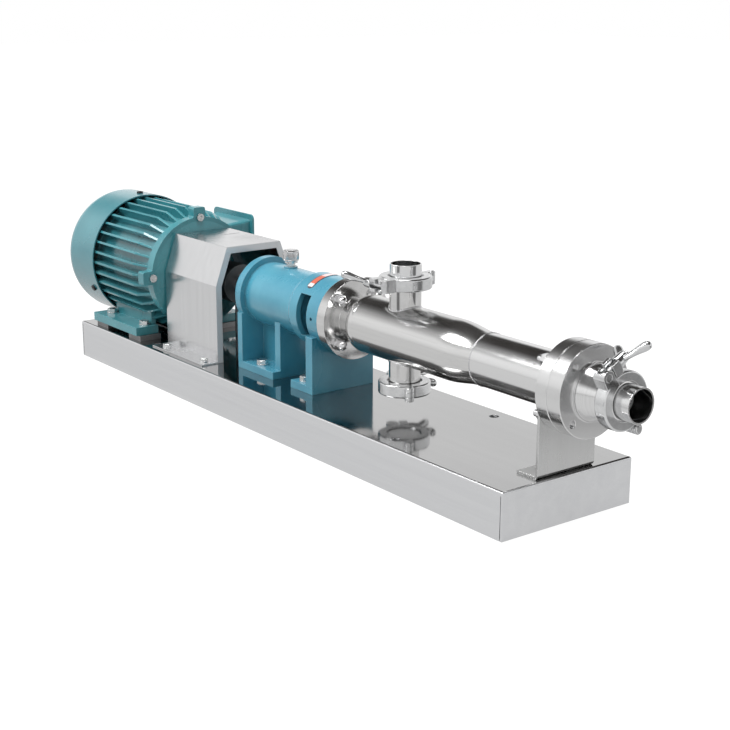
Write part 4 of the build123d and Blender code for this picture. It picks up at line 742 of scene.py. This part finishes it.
# Foil strip on the lantern. Thin self-adhesive foil bent round the casting: a dark rim, a
# white end, an orange field and a pale field. Nothing is printed on it.
foil_dark, foil_rim = (0.05, 0.03, 0.04, 1), (0.06, 0.035, 0.05, 1)
foil_fields = [
    # share of the way across the lantern, colour
    (0.0, foil_dark), (0.03, foil_dark),
    (0.05, (0.8, 0.72, 0.7, 1)), (0.13, (0.8, 0.7, 0.68, 1)),
    (0.16, (0.62, 0.1, 0.04, 1)), (0.5, (0.58, 0.11, 0.05, 1)),
    (0.55, (0.7, 0.52, 0.52, 1)), (0.97, (0.72, 0.56, 0.56, 1)),
    (1.0, foil_dark),
]
strip, tree, shader = surface("foil_strip", 0.1, 0.3, Coat_Weight=0.4, Coat_Roughness=0.1)
strip_low, strip_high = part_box("label_strip")
strip_middle = (strip_low.x + strip_high.x) / 2
strip_half = (strip_high.x - strip_low.x) / 2
place = node(tree, "SeparateXYZ", {0: object_place(tree)}).outputs
fields = ramp(tree, spread(tree, place["Y"], strip_low.y, strip_high.y), foil_fields)
off_middle = maths(tree, "ABSOLUTE", maths(tree, "SUBTRACT", place["X"], strip_middle))
on_rim = spread(tree, maths(tree, "DIVIDE", off_middle, strip_half), 0.74, 0.82)
rimmed = blend(tree, on_rim, fields, foil_rim)
fade = node(tree, "TexNoise", {
    "Vector": object_place(tree), "Scale": 300.0, "Detail": 3.0,
}).outputs["Fac"]
faded = blend(tree, maths(tree, "MULTIPLY", fade, 0.14), rimmed, grey(0.75))
tree.links.new(faded, shader.inputs["Base Color"])
relief(tree, shader, fade, 0.02 * mm, use(tree, edge_group, Radius=0.3 * mm)["Normal"])
dress(strip, "label_strip")

# Suction casing. Drawn stainless tube with a turned flange, polished lengthways to a
# mirror and tapered down to the stator tube.
polished_tube = bare_metal(
    "polished_tube", dark=(0.6, 0.598, 0.594), light=(0.7, 0.698, 0.694), roughness=0.14,
    stretch=(9.0, 620.0, 620.0), depth=0.001 * mm, smudge=0.05, edge=0.8 * mm,
)
dress(polished_tube, "suction_casing")

# Stator tube, discharge cover and outlet ferrule. Polished stainless off the lathe; the
# discs are a little duller than the tube between them.
tube_to_disc = 33 * mm
polished_disc = turned_metal(
    "polished_disc", dark=(0.66, 0.66, 0.66), light=(0.78, 0.78, 0.78), roughness=0.15,
    depth=0.005 * mm, edge=0.7 * mm, dull_from=tube_to_disc, Anisotropic=0.3,
)
dress(polished_disc, "stator_tube", "discharge_cover", "outlet_ferrule")

# Port above and drain below. A turned ferrule and a turned blank cap, both polished
# round the port's own upright axis.
port_low, port_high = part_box("inlet_ferrule")
port_x = (port_low.x + port_high.x) / 2
polished_port = turned_metal(
    "polished_port", dark=(0.7, 0.705, 0.71), light=(0.82, 0.825, 0.83), roughness=0.1,
    centre=(port_x, 0.0, 0.0), across=(1.0, 1.0, 0.0), edge=0.5 * mm,
)
dress(polished_port, "inlet_ferrule", "drain_cap")

# Welds. The port and the drain are set on the casing, and the casing and the end disc
# on the stator tube, each with one rippled bead of stainless filler.
casing_outer = 36 * mm
port_outer = 19.05 * mm
stator_outer = 30.5 * mm
casing_end_x = 345 * mm
end_disc_x = 468.5 * mm
bead_sides = 10
saddle_steps, hoop_steps = 240, 300
weld_metal = bare_metal(
    "weld_metal", dark=(0.6, 0.6, 0.61), light=(0.76, 0.76, 0.77), roughness=0.17,
    stretch=(300.0, 300.0, 300.0), depth=0.006 * mm, edge=0.2 * mm,
)


def weld_bead(name, path, radius, ripple):
    """Closed bead along a path of points, with the ripples that a torch leaves."""
    angles = [2 * pi * side / bead_sides for side in range(bead_sides)]
    rings = []
    for index, point in enumerate(path):
        ahead = (path[(index + 1) % len(path)] - path[index - 1]).normalized()
        outward = (point - Vector((point.x, 0, axis_height))).normalized()
        inward = ahead.cross(outward).normalized()
        outward = inward.cross(ahead)
        swell = radius * (1 + ripple * (0.5 + 0.5 * sin(index * pi / 2)))
        rings.append([point + swell * (cos(a) * outward + sin(a) * inward) for a in angles])
    settle(lofted(name, rings, closed=True), "pump_frame", weld_metal)


for side, name in ((1, "port_weld"), (-1, "drain_weld")):
    saddle = []
    for step in range(saddle_steps):
        x = port_outer * cos(2 * pi * step / saddle_steps)
        y = port_outer * sin(2 * pi * step / saddle_steps)
        z = axis_height + side * sqrt(casing_outer**2 - y**2)
        saddle.append(Vector((port_x + x, y, z)))
    weld_bead(name, saddle, radius=0.9 * mm, ripple=0.3)
for name, x, radius, ripple in (
    ("stator_disc_weld", end_disc_x, 1.3 * mm, 0.3),
    ("casing_end_weld", casing_end_x, 0.5 * mm, 0.5),
):
    hoop = []
    for step in range(hoop_steps):
        y = stator_outer * cos(2 * pi * step / hoop_steps)
        z = axis_height + stator_outer * sin(2 * pi * step / hoop_steps)
        hoop.append(Vector((x, y, z)))
    weld_bead(name, hoop, radius, ripple)

# Wet end fasteners. Bare stainless: acorn nuts on the casing's studs, and the tie bolts
# that pull the cover on the stator tube.
bolt_stainless = bare_metal(
    "bolt_stainless", dark=(0.6, 0.6, 0.61), light=(0.78, 0.78, 0.78), roughness=0.16,
    stretch=(420.0, 420.0, 420.0), depth=0.004 * mm, edge=0.35 * mm,
)
dress(bolt_stainless, "casing_nuts", "tie_bolts")

# Outlet bracket. Stainless sheet with a duller upright grain than the guard's, bent once
# and screwed on the pan, that carries the discharge end.
bracket_sheet = bare_metal(
    "bracket_sheet", dark=(0.56, 0.562, 0.56), light=(0.61, 0.612, 0.61), roughness=0.27,
    stretch=(700.0, 700.0, 30.0), depth=0.0012 * mm, smudge=0.05, edge=0.8 * mm,
    Anisotropic=0.3,
)
dress(bracket_sheet, "support_bracket")

# Clamps. Investment-cast bands and swing bolts, tumbled bright, with the soft edges that
# tumbling gives.
tumbled_cast = bare_metal(
    "tumbled_cast", dark=(0.58, 0.585, 0.59), light=(0.76, 0.765, 0.77), roughness=0.17,
    stretch=(150.0, 150.0, 150.0), depth=0.02 * mm, smudge=0.07, edge=0.9 * mm,
)
dress(
    tumbled_cast, "outlet_clamp", "inlet_clamp", "drain_clamp", "outlet_clamp_bolt",
    "inlet_clamp_bolt", "drain_clamp_bolt",
)

# Wing nuts. Cast in one with a tapered hub and two fat rounded wings that rise away from
# the band, so that a hand can turn them. Each stands for its plain CAD nut.
wing_path = [
    # in mm: distance from the bolt, height, half depth, half thickness
    (3.5, 8.0, 5.0, 3.2), (8.0, 10.9, 4.8, 3.0), (13.0, 16.2, 4.8, 3.4),
    (18.0, 21.0, 5.2, 4.5), (22.5, 24.4, 5.4, 5.2), (26.2, 26.6, 4.6, 4.6),
    (28.6, 27.8, 2.4, 2.5),
]
hub_profile = [
    # in mm: radius, height
    (3.1, 0.0), (6.6, 0.0), (7.0, 0.5), (6.6, 6.0), (6.2, 11.0), (5.9, 13.4), (5.3, 14.0),
    (3.1, 14.0),
]
hub_sides, wing_sides = 36, 20


def oval(centre, along, across, half_along, half_across, sides):
    """Ring of points round a centre."""
    angles = [2 * pi * side / sides for side in range(sides)]
    return [centre + half_along * cos(a) * along + half_across * sin(a) * across for a in angles]


for joint in frame["joints"]:
    if not joint["name"].endswith("_nut_spin"):
        continue
    nut = joint["child"]
    bolt_way = Vector(joint["axis"]).normalized()
    on_bolt = Vector(joint["pos_m"])
    corners = [vertex.co - on_bolt for vertex in frame["nodes"][nut].data.vertices]
    heights = [corner.dot(bolt_way) for corner in corners]
    if abs(min(heights)) > abs(max(heights)):
        bolt_way = -bolt_way
        heights = [-height for height in heights]
    spokes = [corner - corner.dot(bolt_way) * bolt_way for corner in corners]
    wing_way = max(spokes, key=lambda spoke: spoke.length).normalized()
    side_way = bolt_way.cross(wing_way)
    foot = on_bolt + min(heights) * bolt_way
    hub_rings = []
    for hub_radius, height in hub_profile:
        middle = foot + height * mm * bolt_way
        hub_rings.append(
            oval(middle, wing_way, side_way, hub_radius * mm, hub_radius * mm, hub_sides))
    hub = lofted(nut + "_hub", hub_rings, closed=True)
    settle(hub, nut, tumbled_cast)
    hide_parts(nut)
    for sign, side_name in ((1, "a"), (-1, "b")):
        wing_rings = []
        for index, (reach, height, depth, thick) in enumerate(wing_path):
            before = wing_path[max(index - 1, 0)]
            later = wing_path[min(index + 1, len(wing_path) - 1)]
            slope = Vector((sign * (later[0] - before[0]), later[1] - before[1])).normalized()
            depth_way = (-slope.y * wing_way + slope.x * bolt_way) * sign
            middle = foot + (sign * reach * wing_way + height * bolt_way) * mm
            wing_rings.append(
                oval(middle, depth_way, side_way, depth * mm, thick * mm, wing_sides))
        wing = lofted(nut + "_wing_" + side_name, wing_rings)
        smoothing = wing.modifiers.new("soft", "SUBSURF")
        smoothing.levels = smoothing.render_levels = 2
        settle(wing, nut, tumbled_cast)
